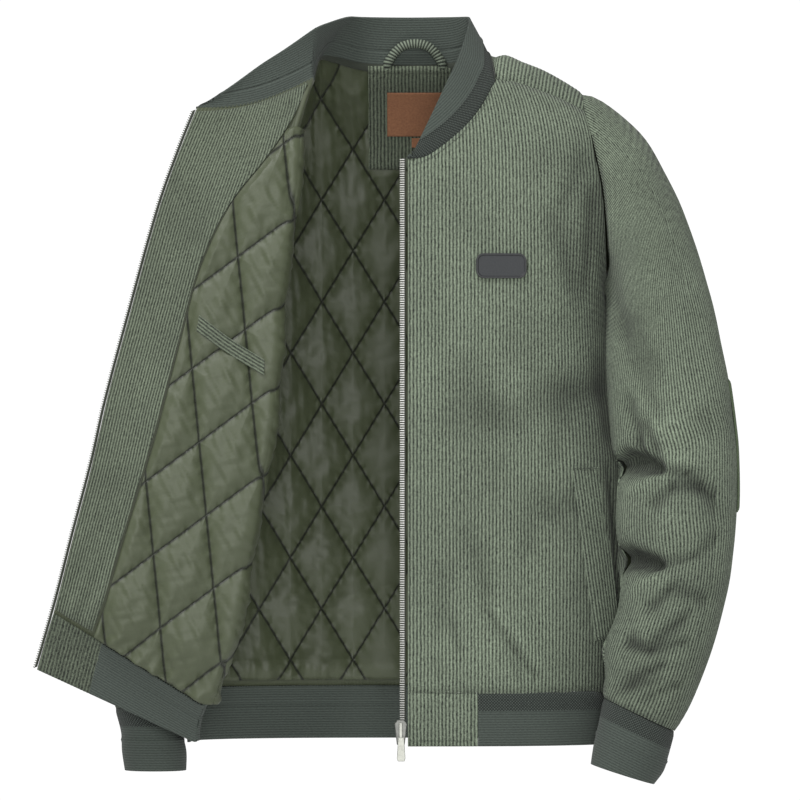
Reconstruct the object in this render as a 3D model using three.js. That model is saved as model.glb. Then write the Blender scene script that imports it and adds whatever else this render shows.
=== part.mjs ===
// Corduroy bomber jacket, filled out and hollow, with its right front folded open.
// Millimetres. +X is the wearer's left, -Y is the front, +Z is up.
// The origin is the middle of the neck, where the wearer's shoulders carry the jacket.
import * as THREE from 'three';

// Driving sizes
const SHELL = 2;              // corduroy wall
const SEAM = 0.3;             // gap between sewn pieces
const LOOSE = 1;              // gap between the shell and its facing
const LOOSE_LINING = 2.6;     // gap between the shell and its quilted lining
const LINING = 1.6;           // quilted lining at its stitch lines
const PUFF = 5;               // height of a quilted diamond
const DIAMOND_HALF = [34, 54.6];
const HEM_TOP = -657;
const HEM_BOTTOM = -712;
const FRONT_EDGE = -2;        // zip edge of the closed side
const NECK_LEFT = 89;
const NECK_RIGHT = 104;
const SHOULDER_END = 184;
const CAP = 90;               // radius of the shoulder's roundness
const ROUND = 2.6;            // squareness of the body's section
const ARM_MIDDLE = -133;
const ARM_HALF = 105;
const ARM_STEPS = 20;
const STEP = (2 * Math.PI) / ARM_STEPS;
const SEAM_STEP = 2;          // shoulder seam, in steps forward of the top
const OVERARM_STEP = 3;       // overarm sleeve seam, in steps forward of the top
const COLLAR_GAP = 0.7;        // the collar stands this far off the neckline
const NECK_RISE = 0.52;       // back neck seam, as an angle behind the shoulder's top
const RIB = 3;                // double rib knit of cuffs and hem
const ARM_ROUND = 0.92;       // squareness of a sleeve's section
const ARM_FITS = [1, 0.7, 0.4, 0.15];   // how far each sleeve station keeps the armhole's shape
const ARM_OUT = 0.45;         // the sleeve starts this far outside the armhole
const TAB_WIDTH = 70.6;       // hem tab at the closed side's zip
const INNER_WELT_HEIGHT = 0.38;  // in rows of the open side's grid
const ZIP_TOP = -100;
const ZIP_FOOT = -683.7;
const ZIP_LEAN = 0.3;         // the open side's zip leans down this much per unit outwards

const table = (names, rows) => rows.map((row) => Object.fromEntries(
  names.split(' ').map((name, k) => [name, row[k]])));

// Half widths and half depths of the body by height
const BODY = table('z left right front back', [
  [10, 203, 203, 58, 60],
  [-50, 216, 212, 72, 78],
  [-100, 220, 208, 85, 92],
  [-150, 220, 203, 92, 99],
  [-200, 214, 195, 98, 102],
  [-238, 208, 188, 101, 103],
  [-300, 211, 189, 105, 104],
  [-400, 219, 196, 108, 104],
  [-500, 226, 209, 108, 103],
  [-600, 229, 224, 104, 100],
  [-657, 226, 233, 100, 97],
  [-712, 216, 234, 93, 90],
]);

// Top of the shoulder by distance from the middle
const SHOULDER = table('x top', [
  [0, 12.5], [92, 12.5], [122, 3], [151, -8.5], [171, -21], [184, -30], [222, -70],
]);

// Shoulder seam, which lies forward of the top
const SHOULDER_SEAM = table('x z', [
  [89, -11.5], [104, -15.7], [119, -20], [141, -27.5], [164, -37], [184, -48],
]);

// Armhole's distance from the middle by height
const ARMHOLE = table('z left right', [
  [-28, 182, 182], [-48, 184, 182], [-72, 189.5, 184], [-107, 197, 186],
  [-135, 202, 187], [-180, 205.5, 187], [-238, 208, 188],
]);

// Front neckline of the closed side
const NECKLINE = table('x z', [
  [-2, -99], [6, -100], [29, -88.5], [50, -72], [64, -56.5], [74, -42.5], [83, -26], [89, -11.5],
]);

// Fold line of the open side, from the neck to the hem seam
const FOLD = table('v x z radius', [
  [0, -104, -16, 2], [0.09, -122, -72, 5], [0.2, -129, -140, 7], [0.38, -146, -255, 8],
  [0.55, -152, -352, 8], [0.67, -163, -431, 8], [0.8, -182, -533, 8], [0.92, -198, -614, 8],
  [1, -221, -668, 7], [1.09, -229, -708, 6],
]);

// Zip edge of the open side
const OPEN_EDGE = table('v x y z', [
  [0, -222, -84, -47], [0.09, -239, -90, -90], [0.2, -260, -95, -150], [0.38, -291, -102, -262],
  [0.55, -315, -104, -352], [0.67, -329, -104, -414], [0.8, -349, -103, -490],
  [0.92, -363, -100, -545], [1, -371, -97, -574], [1.09, -388, -94, -632],
]);

// Sag of the open side's neckline below the straight line from fold to zip
const OPEN_NECK_SAG = 9;

// Inner edge of the facing on the open side, as a share of the way from fold to zip
const FACING_EDGE = table('v share', [
  [0, 0.0], [0.07, 0.04], [0.12, 0.16], [0.2, 0.42], [0.3, 0.56], [0.42, 0.6],
  [0.6, 0.65], [0.8, 0.71], [1, 0.74],
]);

// Sleeve stations: outer end, inner end, middle of the depth and half depth
const SLEEVE_LEFT = table('ox oz ix iz y b', [
  [182, -28, 208, -238, 0, 48],
  [199, -35, 210, -241, -1, 52],
  [221, -50, 211, -246, -2, 57],
  [245, -74, 212, -254, -3, 62],
  [263, -102, 212, -264, -8, 66],
  [279, -135, 212, -277, -14, 67],
  [292, -170, 212, -291, -20, 66],
  [302, -204, 212.5, -308, -26, 65],
  [311, -240, 213.5, -328, -32, 64],
  [318, -272, 215, -350, -37, 63],
  [325, -306, 217.5, -378, -42, 62],
  [332, -345, 220, -404, -46, 61],
  [337, -378, 230, -424, -51, 54],
  [340, -405, 226, -445, -54, 58],
  [341.5, -448, 224, -482, -58, 58],
  [340, -487, 231, -520, -61, 51],
  [337, -514, 229, -545, -64, 54],
  [331, -552, 225, -573, -67, 53],
  [322, -590, 215, -598, -74, 51],
  [309, -627, 208, -624, -80, 48],
  [292, -668, 202, -650, -86, 42],
  [276, -696, 201.5, -661, -90, 37],
]);

const SLEEVE_RIGHT = table('ox oz ix iz y b', [
  [-182, -28, -188, -238, 0, 48],
  [-191, -35, -190, -241, 1, 51],
  [-206, -51, -191, -246, 2, 54],
  [-218, -73, -193, -254, 3, 57],
  [-231, -102, -195, -264, 4, 59],
  [-243, -138, -198, -277, 5, 60],
  [-256, -177, -202, -292, 6, 60],
  [-268, -215, -206, -309, 7, 60],
  [-281, -253, -211, -328, 8, 60],
  [-294, -296, -216, -352, 8, 60],
  [-306, -342, -222, -378, 8, 60],
  [-312, -388, -225, -414, 8, 60],
  [-316, -445, -228, -461, 10, 56],
  [-319, -508, -233, -518, 12, 57],
  [-320, -570, -241, -575, 13, 54],
  [-318, -627, -246, -630, 14, 48],
  [-312, -676, -247, -676, 14, 42],
]);

// Cuffs below each sleeve: the same columns
const CUFF_LEFT = table('ox oz ix iz y b', [
  [275.7, -696.5, 201.3, -661.5, -90, 36.5],
  [268, -721, 197, -689, -91, 37],
  [263, -737, 192, -711, -91, 35],
  [254, -751, 188, -730, -92, 32],
]);
const CUFF_RIGHT = table('ox oz ix iz y b', [
  [-311.6, -676.5, -247.4, -676.5, 14, 41.5],
  [-304, -702, -242, -702, 14, 38],
  [-302, -720, -237, -720, 13, 36],
  [-298, -737, -235, -737, 12, 33],
]);

// Free edge of the collar, by its share of the way from the closed side's zip end to the open one's
const COLLAR_EDGE = table('share x y z', [
  [0, 3, -85, -94], [0.05, 16, -81, -67], [0.095, 27, -74, -44], [0.157, 43, -60, -9],
  [0.21, 49, -46, 7], [0.26, 54, -31, 24], [0.33, 59, -6, 47], [0.4, 50, 14, 49],
  [0.515, 0, 24, 49], [0.62, -50, 14, 49], [0.7, -66, -8, 49], [0.74, -84, -28, 43],
  [0.78, -101, -46, 33], [0.84, -130, -56, 13], [0.9, -158, -64, -4], [0.95, -185, -74, -24],
  [1, -214, -83, -42],
]);

const { pow, abs, min, max, sin, cos, acos, sqrt, PI, sign } = Math;
const mix = (a, b, t) => a + (b - a) * t;
const clamp = (t) => min(1, max(0, t));
const V = (x, y, z) => new THREE.Vector3(x, y, z);
const power = (value, e) => sign(value) * pow(abs(value), e);

// Smooth value of a table's column at a key
function look(rows, key, name, at) {
  const up = rows[rows.length - 1][key] > rows[0][key] ? 1 : -1;
  let k = 0;
  while (k < rows.length - 2 && up * at > up * rows[k + 1][key]) k += 1;
  const slope = (m) => {
    const a = rows[max(0, m - 1)];
    const b = rows[min(rows.length - 1, m + 1)];
    return (b[name] - a[name]) / (b[key] - a[key]);
  };
  const [a, b] = [rows[k], rows[k + 1]];
  const width = b[key] - a[key];
  const t = clamp((at - a[key]) / width);
  const s = t * t * (3 - 2 * t);
  const bend = t * (1 - t) * ((1 - t) * slope(k) - t * slope(k + 1)) * width;
  return mix(a[name], b[name], s) + bend;
}

// The body's surface
const halfWidth = (x, z) => look(BODY, 'z', x < 0 ? 'right' : 'left', z);
const shoulderTop = (x) => look(SHOULDER, 'x', 'top', abs(x));
const section = (share) => pow(max(0, 1 - pow(abs(share), ROUND)), 1 / ROUND);
const cap = (x, z) => sqrt(1 - pow(1 - clamp((shoulderTop(x) - z) / CAP), 2));
const depthAt = (z, back) => look(BODY, 'z', back ? 'back' : 'front', z);

function bodyPoint(x, z, back) {
  const y = depthAt(z, back) * section(x / halfWidth(x, z)) * cap(x, z);
  return V(x, back ? y : -y, z);
}

// Outward direction of the body's surface, from the slope of its equation
function bodyNormal(p) {
  const level = (x, y, z) => {
    const rise = max(0, (z - shoulderTop(x) + CAP) / CAP);
    const across = power(1 - pow(abs(x) / halfWidth(x, z), ROUND), 2 / ROUND);
    return pow(y / depthAt(z, p.y > 0), 2) - across * (1 - rise * rise);
  };
  const h = 0.02;
  return V(
    level(p.x + h, p.y, p.z) - level(p.x - h, p.y, p.z),
    level(p.x, p.y + h, p.z) - level(p.x, p.y - h, p.z),
    level(p.x, p.y, p.z + h) - level(p.x, p.y, p.z - h),
  ).normalize();
}

// A point of the armhole, counted in steps forward of its top
function armPoint(step, left) {
  const z = ARM_MIDDLE + ARM_HALF * cos(step * STEP);
  const x = look(ARMHOLE, 'z', left ? 'left' : 'right', z);
  return bodyPoint(left ? x : -x, z, step < 0);
}

// Grids: arrays of rows of { p, n }, with n pointing out of the garment
const shift = (grid, distance) => grid.map((row, j) => row.map(({ p, n }, i) => (
  p.clone().addScaledVector(n, typeof distance === 'function' ? distance(i, j) : distance))));

// Moves a grid's edges in along the cloth, to leave the seam's gap
function trim(grid, sides) {
  const last = grid.length - 1;
  const end = grid[0].length - 1;
  const copy = grid.map((row) => row.map(({ p, n }) => ({ p: p.clone(), n })));
  const pull = (j, i, jj, ii) => {
    const toward = copy[jj][ii].p.clone().sub(copy[j][i].p);
    copy[j][i].p.addScaledVector(toward.normalize(), j === 0 && jj === 1 ? SEAM * 2 : SEAM * 0.6);
  };
  if (sides.includes('left')) for (let j = 0; j <= last; j += 1) pull(j, 0, j, 1);
  if (sides.includes('right')) for (let j = 0; j <= last; j += 1) pull(j, end, j, end - 1);
  if (sides.includes('top')) for (let i = 0; i <= end; i += 1) pull(0, i, 1, i);
  if (sides.includes('bottom')) for (let i = 0; i <= end; i += 1) pull(last, i, last - 1, i);
  return copy;
}

// Outward directions of a grid, from its neighbours; facing tells the outer side
function withNormals(points, facing, ring = false) {
  const rows = points.length;
  const cols = points[0].length;
  return points.map((row, j) => row.map((p, i) => {
    const before = ring ? (i + cols - 1) % cols : max(0, i - 1);
    const after = ring ? (i + 1) % cols : min(cols - 1, i + 1);
    const across = row[after].clone().sub(row[before]);
    const down = points[min(rows - 1, j + 1)][i].clone().sub(points[max(0, j - 1)][i]);
    const n = across.cross(down).normalize();
    return { p, n: n.multiplyScalar(facing) };
  }));
}

// A point between a grid's points
function between(grid, i, j) {
  const i0 = min(grid[0].length - 2, max(0, Math.floor(i)));
  const j0 = min(grid.length - 2, max(0, Math.floor(j)));
  const blend = (name) => {
    const top = grid[j0][i0][name].clone().lerp(grid[j0][i0 + 1][name], i - i0);
    const low = grid[j0 + 1][i0][name].clone().lerp(grid[j0 + 1][i0 + 1][name], i - i0);
    return top.lerp(low, j - j0);
  };
  return { p: blend('p'), n: blend('n').normalize() };
}

const resample = (grid, columns, lines) => lines.map((j) => columns.map((i) => (
  between(grid, typeof i === 'function' ? i(j) : i, j))));

const steps = (from, to, count) => Array.from({ length: count + 1 }, (_, k) => mix(from, to, k / count));

// A closed cloth wall between two grids of points
function wall(outer, inner, ring = false) {
  const rows = outer.length;
  const cols = outer[0].length;
  const points = [...outer.flat(), ...inner.flat()];
  const half = rows * cols;
  const at = (j, i) => j * cols + (i % cols);
  const spans = ring ? cols : cols - 1;
  const index = [];
  const quad = (a, b, c, d) => index.push(a, b, c, a, c, d);
  for (let i = 0; i < spans; i += 1) {
    for (let j = 0; j < rows - 1; j += 1) {
      quad(at(j, i), at(j, i + 1), at(j + 1, i + 1), at(j + 1, i));
      quad(half + at(j, i), half + at(j + 1, i), half + at(j + 1, i + 1), half + at(j, i + 1));
    }
    const end = rows - 1;
    quad(at(0, i), half + at(0, i), half + at(0, i + 1), at(0, i + 1));
    quad(at(end, i), at(end, i + 1), half + at(end, i + 1), half + at(end, i));
  }
  if (!ring) {
    const end = cols - 1;
    for (let j = 0; j < rows - 1; j += 1) {
      quad(at(j, 0), at(j + 1, 0), half + at(j + 1, 0), half + at(j, 0));
      quad(at(j + 1, end), at(j, end), half + at(j, end), half + at(j + 1, end));
    }
  }
  const volume = (order) => {
    let sum = 0;
    for (let k = 0; k < order.length; k += 3) {
      const [a, b, c] = [points[order[k]], points[order[k + 1]], points[order[k + 2]]];
      sum += a.dot(b.clone().cross(c));
    }
    return sum;
  };
  if (volume(index) < 0) index.reverse();
  const geometry = new THREE.BufferGeometry();
  geometry.setAttribute('position', new THREE.Float32BufferAttribute(
    points.flatMap((p) => p.toArray()), 3));
  geometry.setIndex(index);
  return geometry;
}

const layer = (grid, from, to, ring = false) => wall(shift(grid, from), shift(grid, to), ring);

// Rows shared by the panels: the armhole's steps, then down the side seam
const SIDE_ROWS = 9;
const BELOW = steps(ARM_MIDDLE - ARM_HALF, HEM_TOP, SIDE_ROWS).slice(1);
const frontSteps = steps(SEAM_STEP, ARM_STEPS / 2, ARM_STEPS / 2 - SEAM_STEP);
const backSteps = steps(SEAM_STEP, -ARM_STEPS / 2, ARM_STEPS / 2 + SEAM_STEP);

function edgeRows(list, left) {
  const armhole = list.map((step) => armPoint(step, left));
  const seam = BELOW.map((z) => V((left ? 1 : -1) * halfWidth(left ? 1 : -1, z), 0, z));
  return [...armhole, ...seam];
}

// Columns of a panel: shares of its width at the top and lower down
const SHOULDER_COLUMNS = [0, 0.25, 0.5, 0.75, 1];
const columnX = (neck) => SHOULDER_COLUMNS.map((share) => mix(neck, SHOULDER_END, share));

function frontLeft() {
  const edge = edgeRows(frontSteps, true);
  const tops = [-2, 15, 31, 47, 62, 75, 84, ...columnX(NECK_LEFT)];
  const topZ = (x) => (x < NECK_LEFT ? look(NECKLINE, 'x', 'z', x) : look(SHOULDER_SEAM, 'x', 'z', x));
  const count = tops.length - 1;
  return edge.map((end) => tops.map((x0, i) => {
    const down = (end.z - edge[0].z) / (HEM_TOP - edge[0].z);
    const high = (x0 - FRONT_EDGE) / (SHOULDER_END - FRONT_EDGE);
    const low = pow(sin((i / count) * PI / 2), 2 / ROUND);
    const share = mix(high, low, clamp(down / 0.4));
    const x = i === count ? end.x : mix(FRONT_EDGE, end.x, share);
    const z = mix(topZ(x0), HEM_TOP, down);
    const p = i === count ? end.clone() : bodyPoint(x, z, false);
    return { p, n: bodyNormal(p) };
  }));
}

// The back, whose top runs over the shoulders to the seam in front
function backGrid() {
  const left = edgeRows(backSteps, true);
  const right = edgeRows(backSteps, false);
  const inner = (neck) => [0.3, 0.55, 0.78, 0.93].map((share) => share * neck);
  const tops = [
    ...columnX(NECK_RIGHT).reverse().map((x) => -x), ...inner(NECK_RIGHT).reverse().map((x) => -x), 0,
    ...inner(NECK_LEFT), ...columnX(NECK_LEFT),
  ];
  const middle = tops.indexOf(0);
  const along = (row, list) => {
    const angle = (p, k) => {
      const a = acos(clamp(1 - (shoulderTop(p.x) - p.z) / CAP));
      return (backSteps[k] > 0 ? -a : a);
    };
    const p = list[row];
    const turn = row < backSteps.length ? angle(p, row) : PI / 2;
    return CAP * turn + max(0, shoulderTop(p.x) - CAP - p.z);
  };
  return left.map((_, j) => tops.map((x0, i) => {
    const list = x0 < 0 ? right : left;
    const end = list[j];
    const last = list.length - 1;
    const down = (along(j, list) - along(0, list)) / (along(last, list) - along(0, list));
    const neck = x0 < 0 ? NECK_RIGHT : NECK_LEFT;
    const share0 = abs(x0) / SHOULDER_END;
    const count = x0 < 0 ? middle : tops.length - 1 - middle;
    const low = pow(sin((abs(i - middle) / count) * PI / 2), 2 / ROUND);
    const share = mix(share0, low, clamp(down / 0.5));
    const edge = abs(i - middle) === count;
    if (edge) return { p: end.clone(), n: bodyNormal(V(end.x, max(end.y, 0.01), end.z)) };
    const x = share * end.x;
    const seamX = max(abs(x0), neck);
    const rise = acos(clamp(1 - (shoulderTop(seamX) - look(SHOULDER_SEAM, 'x', 'z', seamX)) / CAP));
    const inNeck = sqrt(max(0, 1 - pow(min(1, abs(x0) / neck), 4)));
    const start = mix(-rise, NECK_RISE, inNeck);
    const length = CAP * (PI / 2 - start) + shoulderTop(x) - CAP - HEM_TOP;
    const run = start * CAP + down * length;
    const turn = min(PI / 2, run / CAP);
    const z = shoulderTop(x) - CAP * (1 - cos(turn)) - max(0, run - CAP * PI / 2);
    const p = bodyPoint(x, z, turn > 0);
    return { p, n: bodyNormal(p) };
  }));
}

// The open side: from its side seam round to the fold, over, and back out to the zip edge
const OPEN_BODY = 5;
const OPEN_ROLL = 4;
const OPEN_FLAP = 6;

function openRow(v, edge, hem = false) {
  const fold = Object.fromEntries(['x', 'z', 'radius'].map((name) => [name, look(FOLD, 'v', name, v)]));
  const start = bodyPoint(fold.x, fold.z, false);
  const row = [];
  for (let k = 0; k < OPEN_BODY; k += 1) {
    const share = k / OPEN_BODY;
    const width = halfWidth(-1, edge.z);
    const from = acos(pow(clamp(abs(edge.x) / width), ROUND / 2));
    const to = acos(pow(clamp(abs(fold.x) / width), ROUND / 2));
    const x = k === 0 ? edge.x : -width * pow(cos(mix(from, to, share)), 2 / ROUND);
    const z = mix(edge.z, fold.z, (x - edge.x) / (fold.x - edge.x));
    const p = k === 0 ? edge.clone() : bodyPoint(x, z, false);
    row.push({ p, n: bodyNormal(p) });
  }
  for (let k = 0; k <= OPEN_ROLL; k += 1) {
    const turn = (k / OPEN_ROLL) * PI;
    const p = start.clone().add(V(fold.radius * sin(turn), -fold.radius * (1 - cos(turn)), 0));
    const n = k === 0 ? bodyNormal(start) : V(-sin(turn), -cos(turn), 0);
    row.push({ p, n });
  }
  const last = row[row.length - 1].p;
  const zip = V(look(OPEN_EDGE, 'v', 'x', v), look(OPEN_EDGE, 'v', 'y', v), look(OPEN_EDGE, 'v', 'z', v));
  for (let k = 1; k <= OPEN_FLAP; k += 1) {
    const share = k / OPEN_FLAP;
    const p = last.clone().lerp(zip, share);
    if (!hem) p.z -= OPEN_NECK_SAG * clamp(1 - v / 0.15) * sin(PI * share);
    row.push({ p, n: V(0.12, 1, 0).normalize() });
  }
  return row;
}

function frontRight() {
  const edge = edgeRows(frontSteps, false);
  const grid = edge.map((end) => openRow((end.z - edge[0].z) / (HEM_TOP - edge[0].z), end));
  const top = grid[0];
  for (let k = 1; k <= OPEN_BODY; k += 1) {
    const x = mix(top[0].p.x, -NECK_RIGHT, k / OPEN_BODY);
    const p = bodyPoint(x, look(SHOULDER_SEAM, 'x', 'z', -x), false);
    top[k] = { p, n: bodyNormal(p) };
  }
  return grid;
}

// Hem band: rows below the hem seam, the same way round as the panels
function hemGrid() {
  const rows = 3;
  const leftX = steps(TAB_WIDTH + SEAM, 200, 3);
  const half = (left, count) => steps(0, PI / 2, count).map((turn) => ({ turn, left }));
  const grid = [];
  for (let j = 0; j < rows; j += 1) {
    const share = j / (rows - 1);
    const z = mix(HEM_TOP - SEAM, HEM_BOTTOM, share);
    const row = leftX.map((x) => bodyPoint(x, z, false));
    const around = [...half(true, 6).map((k) => ({ ...k, x: cos(k.turn) })),
      ...half(false, 6).reverse().slice(1).map((k) => ({ ...k, x: -cos(k.turn) }))];
    around.forEach(({ x }) => row.push(bodyPoint(power(x, 2 / ROUND) * halfWidth(x, z), z, true)));
    const body = row.map((p) => ({ p, n: bodyNormal(p) }));
    const v = mix(1, 1.09, share);
    const edge = V(-halfWidth(-1, z), 0, z);
    const open = openRow(v + 0.0006 * (1 - share), edge, true).slice(1);
    grid.push([...body, ...open]);
  }
  return grid;
}

// Sleeve rings, counted in steps like the armhole
function sleeveGrid(stations, left) {
  const points = stations.map((at, k) => {
    const outer = V(at.ox, at.y, at.oz);
    const inner = V(at.ix, at.y, at.iz);
    const centre = outer.clone().lerp(inner, 0.5);
    const reach = outer.clone().sub(inner).multiplyScalar(0.5);
    const ellipse = (base, r, b, turn) => base.clone()
      .addScaledVector(r, power(cos(turn), ARM_ROUND))
      .add(V(0, -b * power(sin(turn), ARM_ROUND), 0));
    const keep = ARM_FITS[k] ?? 0;
    return steps(0, ARM_STEPS - 1, ARM_STEPS - 1).map((step) => {
      const turn = step * STEP;
      const p = ellipse(centre, reach, at.b, turn);
      if (keep > 0) {
        const first = stations[0];
        const top = V(first.ox, 0, first.oz);
        const low = V(first.ix, 0, first.iz);
        const plain = ellipse(top.clone().lerp(low, 0.5), top.clone().sub(low).multiplyScalar(0.5), first.b, turn);
        const hole = armPoint(step > ARM_STEPS / 2 ? step - ARM_STEPS : step, left);
        p.addScaledVector(hole.sub(plain), keep);
      }
      if (k === 0) p.x += (left ? 1 : -1) * ARM_OUT;
      return p;
    });
  });
  const grid = withNormals(points, left ? 1 : -1, true);
  const ring = grid[0];
  const middle = ring.reduce((sum, { p }) => sum.add(p), V(0, 0, 0)).multiplyScalar(1 / ring.length);
  ring.forEach((node) => { node.n = node.p.clone().sub(middle).setX(0).normalize(); });
  return grid;
}

function sleeveHalf(grid, from, to) {
  const list = steps(from, to, abs(to - from)).map((step) => (step + 2 * ARM_STEPS) % ARM_STEPS);
  return trim(grid.map((row) => list.map((step) => row[step])), ['left', 'right']);
}

// Height of a quilted diamond at a place across and down the cloth
function puff(across, down) {
  const a = across / DIAMOND_HALF[0];
  const b = down / DIAMOND_HALF[1];
  return PUFF * pow(abs(sin((PI / 2) * (a + b)) * sin((PI / 2) * (a - b))), 0.7);
}

const parts = new THREE.Group();
const FINISH = {
  corduroy: [0x6c7a68, 0.95],
  rib: [0x4f5a51, 0.95],
  lining: [0x4e573c, 0.6],
  patch: [0x5a6c4e, 0.85],
  rubber: [0x1c1e20, 0.5],
  metal: [0xc4c6c4, 0.3, 1],
  tape: [0x34392e, 0.9],
  label: [0x7a5236, 0.85],
};

function add(name, finish, geometry) {
  const [color, roughness, metalness = 0] = FINISH[finish];
  const mesh = new THREE.Mesh(geometry, new THREE.MeshStandardMaterial({ color, roughness, metalness }));
  mesh.name = name;
  parts.add(mesh);
}

// Body panels
const left = frontLeft();
const back = backGrid();
const right = frontRight();
add('front_left', 'corduroy', layer(trim(left, ['right', 'top', 'bottom']), 0, -SHELL));
add('back', 'corduroy', layer(trim(back, ['left', 'right', 'top', 'bottom']), 0, -SHELL));
add('front_right', 'corduroy', layer(trim(right, ['left', 'top', 'bottom']), 0, -SHELL));

// Sleeves, with an overarm and an underarm seam
for (const [side, stations, cuff, isLeft] of [
  ['left', SLEEVE_LEFT, CUFF_LEFT, true], ['right', SLEEVE_RIGHT, CUFF_RIGHT, false]]) {
  const tube = sleeveGrid(stations, isLeft);
  const backHalf = sleeveHalf(tube, OVERARM_STEP, -ARM_STEPS / 2);
  add(`sleeve_${side}_front`, 'corduroy', layer(sleeveHalf(tube, OVERARM_STEP, ARM_STEPS / 2), 0, -SHELL));
  add(`sleeve_${side}_back`, 'corduroy', layer(backHalf, 0, -SHELL));
  const elbow = resample(backHalf, isLeft ? [2.4, 3, 4, 5, 6, 7, 7.6] : [3, 4, 5, 6, 7, 8],
    isLeft ? [10.6, 11, 12, 13, 14, 15] : [10, 11, 12, 13]);
  add(`elbow_patch_${side}`, 'patch', layer(elbow, SEAM, SEAM + 1.5));
  const rings = cuff.map((at) => steps(0, ARM_STEPS - 1, ARM_STEPS - 1).map((step) => {
    const outer = V(at.ox, at.y, at.oz);
    const inner = V(at.ix, at.y, at.iz);
    const reach = outer.clone().sub(inner).multiplyScalar(0.5 * power(cos(step * STEP), ARM_ROUND));
    return outer.lerp(inner, 0.5).add(reach).add(V(0, -at.b * power(sin(step * STEP), ARM_ROUND), 0));
  }));
  add(`cuff_${side}`, 'rib', layer(withNormals(rings, isLeft ? 1 : -1, true), 0, -RIB, true));
}

// Hem: rib band round the body, with a corduroy tab at each zip end
const hem = hemGrid();
const tabColumns = hem[0].length - 3;
add('hem_rib', 'rib', layer(trim(hem.map((row) => row.slice(0, tabColumns + 1)), ['right']), 0, -RIB));
add('hem_tab_right', 'corduroy', layer(trim(hem.map((row) => row.slice(tabColumns)), ['left']), 0, -RIB));
const tab = [HEM_TOP - SEAM, HEM_BOTTOM].map((z) => [FRONT_EDGE, 22, 46, TAB_WIDTH].map((x) => {
  const p = bodyPoint(x, z, false);
  return { p, n: bodyNormal(p) };
}));
add('hem_tab_left', 'corduroy', layer(tab, 0, -RIB));

// Collar: a rib band that stands on the edges of the panels' necklines
function collarGrid() {
  const neck = back[0].filter(({ p }) => p.x > -NECK_RIGHT - 0.5 && p.x < NECK_LEFT + 0.5);
  const seam = [
    ...left[0].filter(({ p }) => p.x < NECK_LEFT - 0.5),
    ...neck.reverse(),
    ...right[0].slice(OPEN_BODY + 1),
  ].map(({ p }) => p);
  const run = seam.map((p, k) => (k ? p.distanceTo(seam[k - 1]) : 0));
  run.forEach((_, k) => { run[k] += run[k - 1] ?? 0; });
  const total = run[run.length - 1];
  return [0, 0.35, 0.7, 1].map((up) => seam.map((p, k) => {
    const free = V(...['x', 'y', 'z'].map((name) => look(COLLAR_EDGE, 'share', name, run[k] / total)));
    const height = free.distanceTo(p);
    return p.clone().lerp(free, mix(COLLAR_GAP / height, 1, up));
  }));
}
const collar = withNormals(collarGrid(), -1);
add('collar', 'rib', layer(collar, 0.4, -2));

// Quilted lining of the back: plain behind, raised on the side that shows
function liningBack() {
  const columns = steps(0.25, back[0].length - 1.25, 26);
  const lines = steps(3.4, back.length - 1.15, 24);
  const grid = resample(back, columns, lines);
  const patchZone = (p) => p.x > -62 && p.x < 62 && p.z > -125;
  const height = grid.map((row) => {
    let across = 0;
    return row.map(({ p }, i) => {
      if (i > 0) across += p.distanceTo(row[i - 1].p);
      const edge = min(i, row.length - 1 - i) === 0 ? 0 : 1;
      return edge * (patchZone(p) ? 0 : puff(p.x + 27, p.z + 246.5));
    });
  });
  const inset = SHELL + LOOSE_LINING;
  return wall(shift(grid, -inset), shift(grid, (i, j) => -(inset + LINING + height[j][i])));
}
add('lining_back', 'lining', liningBack());

// Facing and quilted lining inside the open side
const ROLL_END = OPEN_BODY + OPEN_ROLL;
const facingShare = (j) => {
  const p = right[min(right.length - 1, Math.floor(j))][0].p;
  const next = right[min(right.length - 1, Math.floor(j) + 1)][0].p;
  const z = mix(p.z, next.z, j - Math.floor(j));
  const v = (z - right[0][0].p.z) / (HEM_TOP - right[0][0].p.z);
  return ROLL_END + OPEN_FLAP * look(FACING_EDGE, 'v', 'share', v);
};
const openLines = [0.25, 1, 2, 3, 4, 5, 6, 7, 8, ...steps(8.6, right.length - 1.2, 16).slice(1)];
const facing = resample(right, steps(0, 1, 4).map((t) => (j) => mix(
  facingShare(j) + 0.08, ROLL_END + OPEN_FLAP - 0.02, t)), openLines);
add('facing_right', 'corduroy', layer(facing, -(SHELL + LOOSE), -(SHELL + LOOSE + SHELL)));

function liningRight() {
  const body = steps(0.3, OPEN_BODY, 6);
  const roll = steps(OPEN_BODY, ROLL_END, OPEN_ROLL).slice(1);
  const flap = steps(0, 1, 8).slice(1).map((t) => (j) => mix(ROLL_END, facingShare(j) - 0.06, t));
  const columns = [...body, ...roll, ...flap];
  const lines = openLines.filter((j) => j >= 2);
  const grid = resample(right, columns, lines);
  const height = grid.map((row) => {
    let across = 0;
    return row.map(({ p }, i) => {
      if (i > 0) across += p.distanceTo(row[i - 1].p);
      const last = row.length - 1;
      return i === 0 || i === last ? 0 : puff(across + 9, p.distanceTo(grid[0][i].p) + 20) * 0.8;
    });
  });
  const inset = SHELL + LOOSE_LINING;
  return wall(shift(grid, -inset), shift(grid, (i, j) => -(inset + LINING + height[j][i])));
}
add('lining_front_right', 'lining', liningRight());

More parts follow.
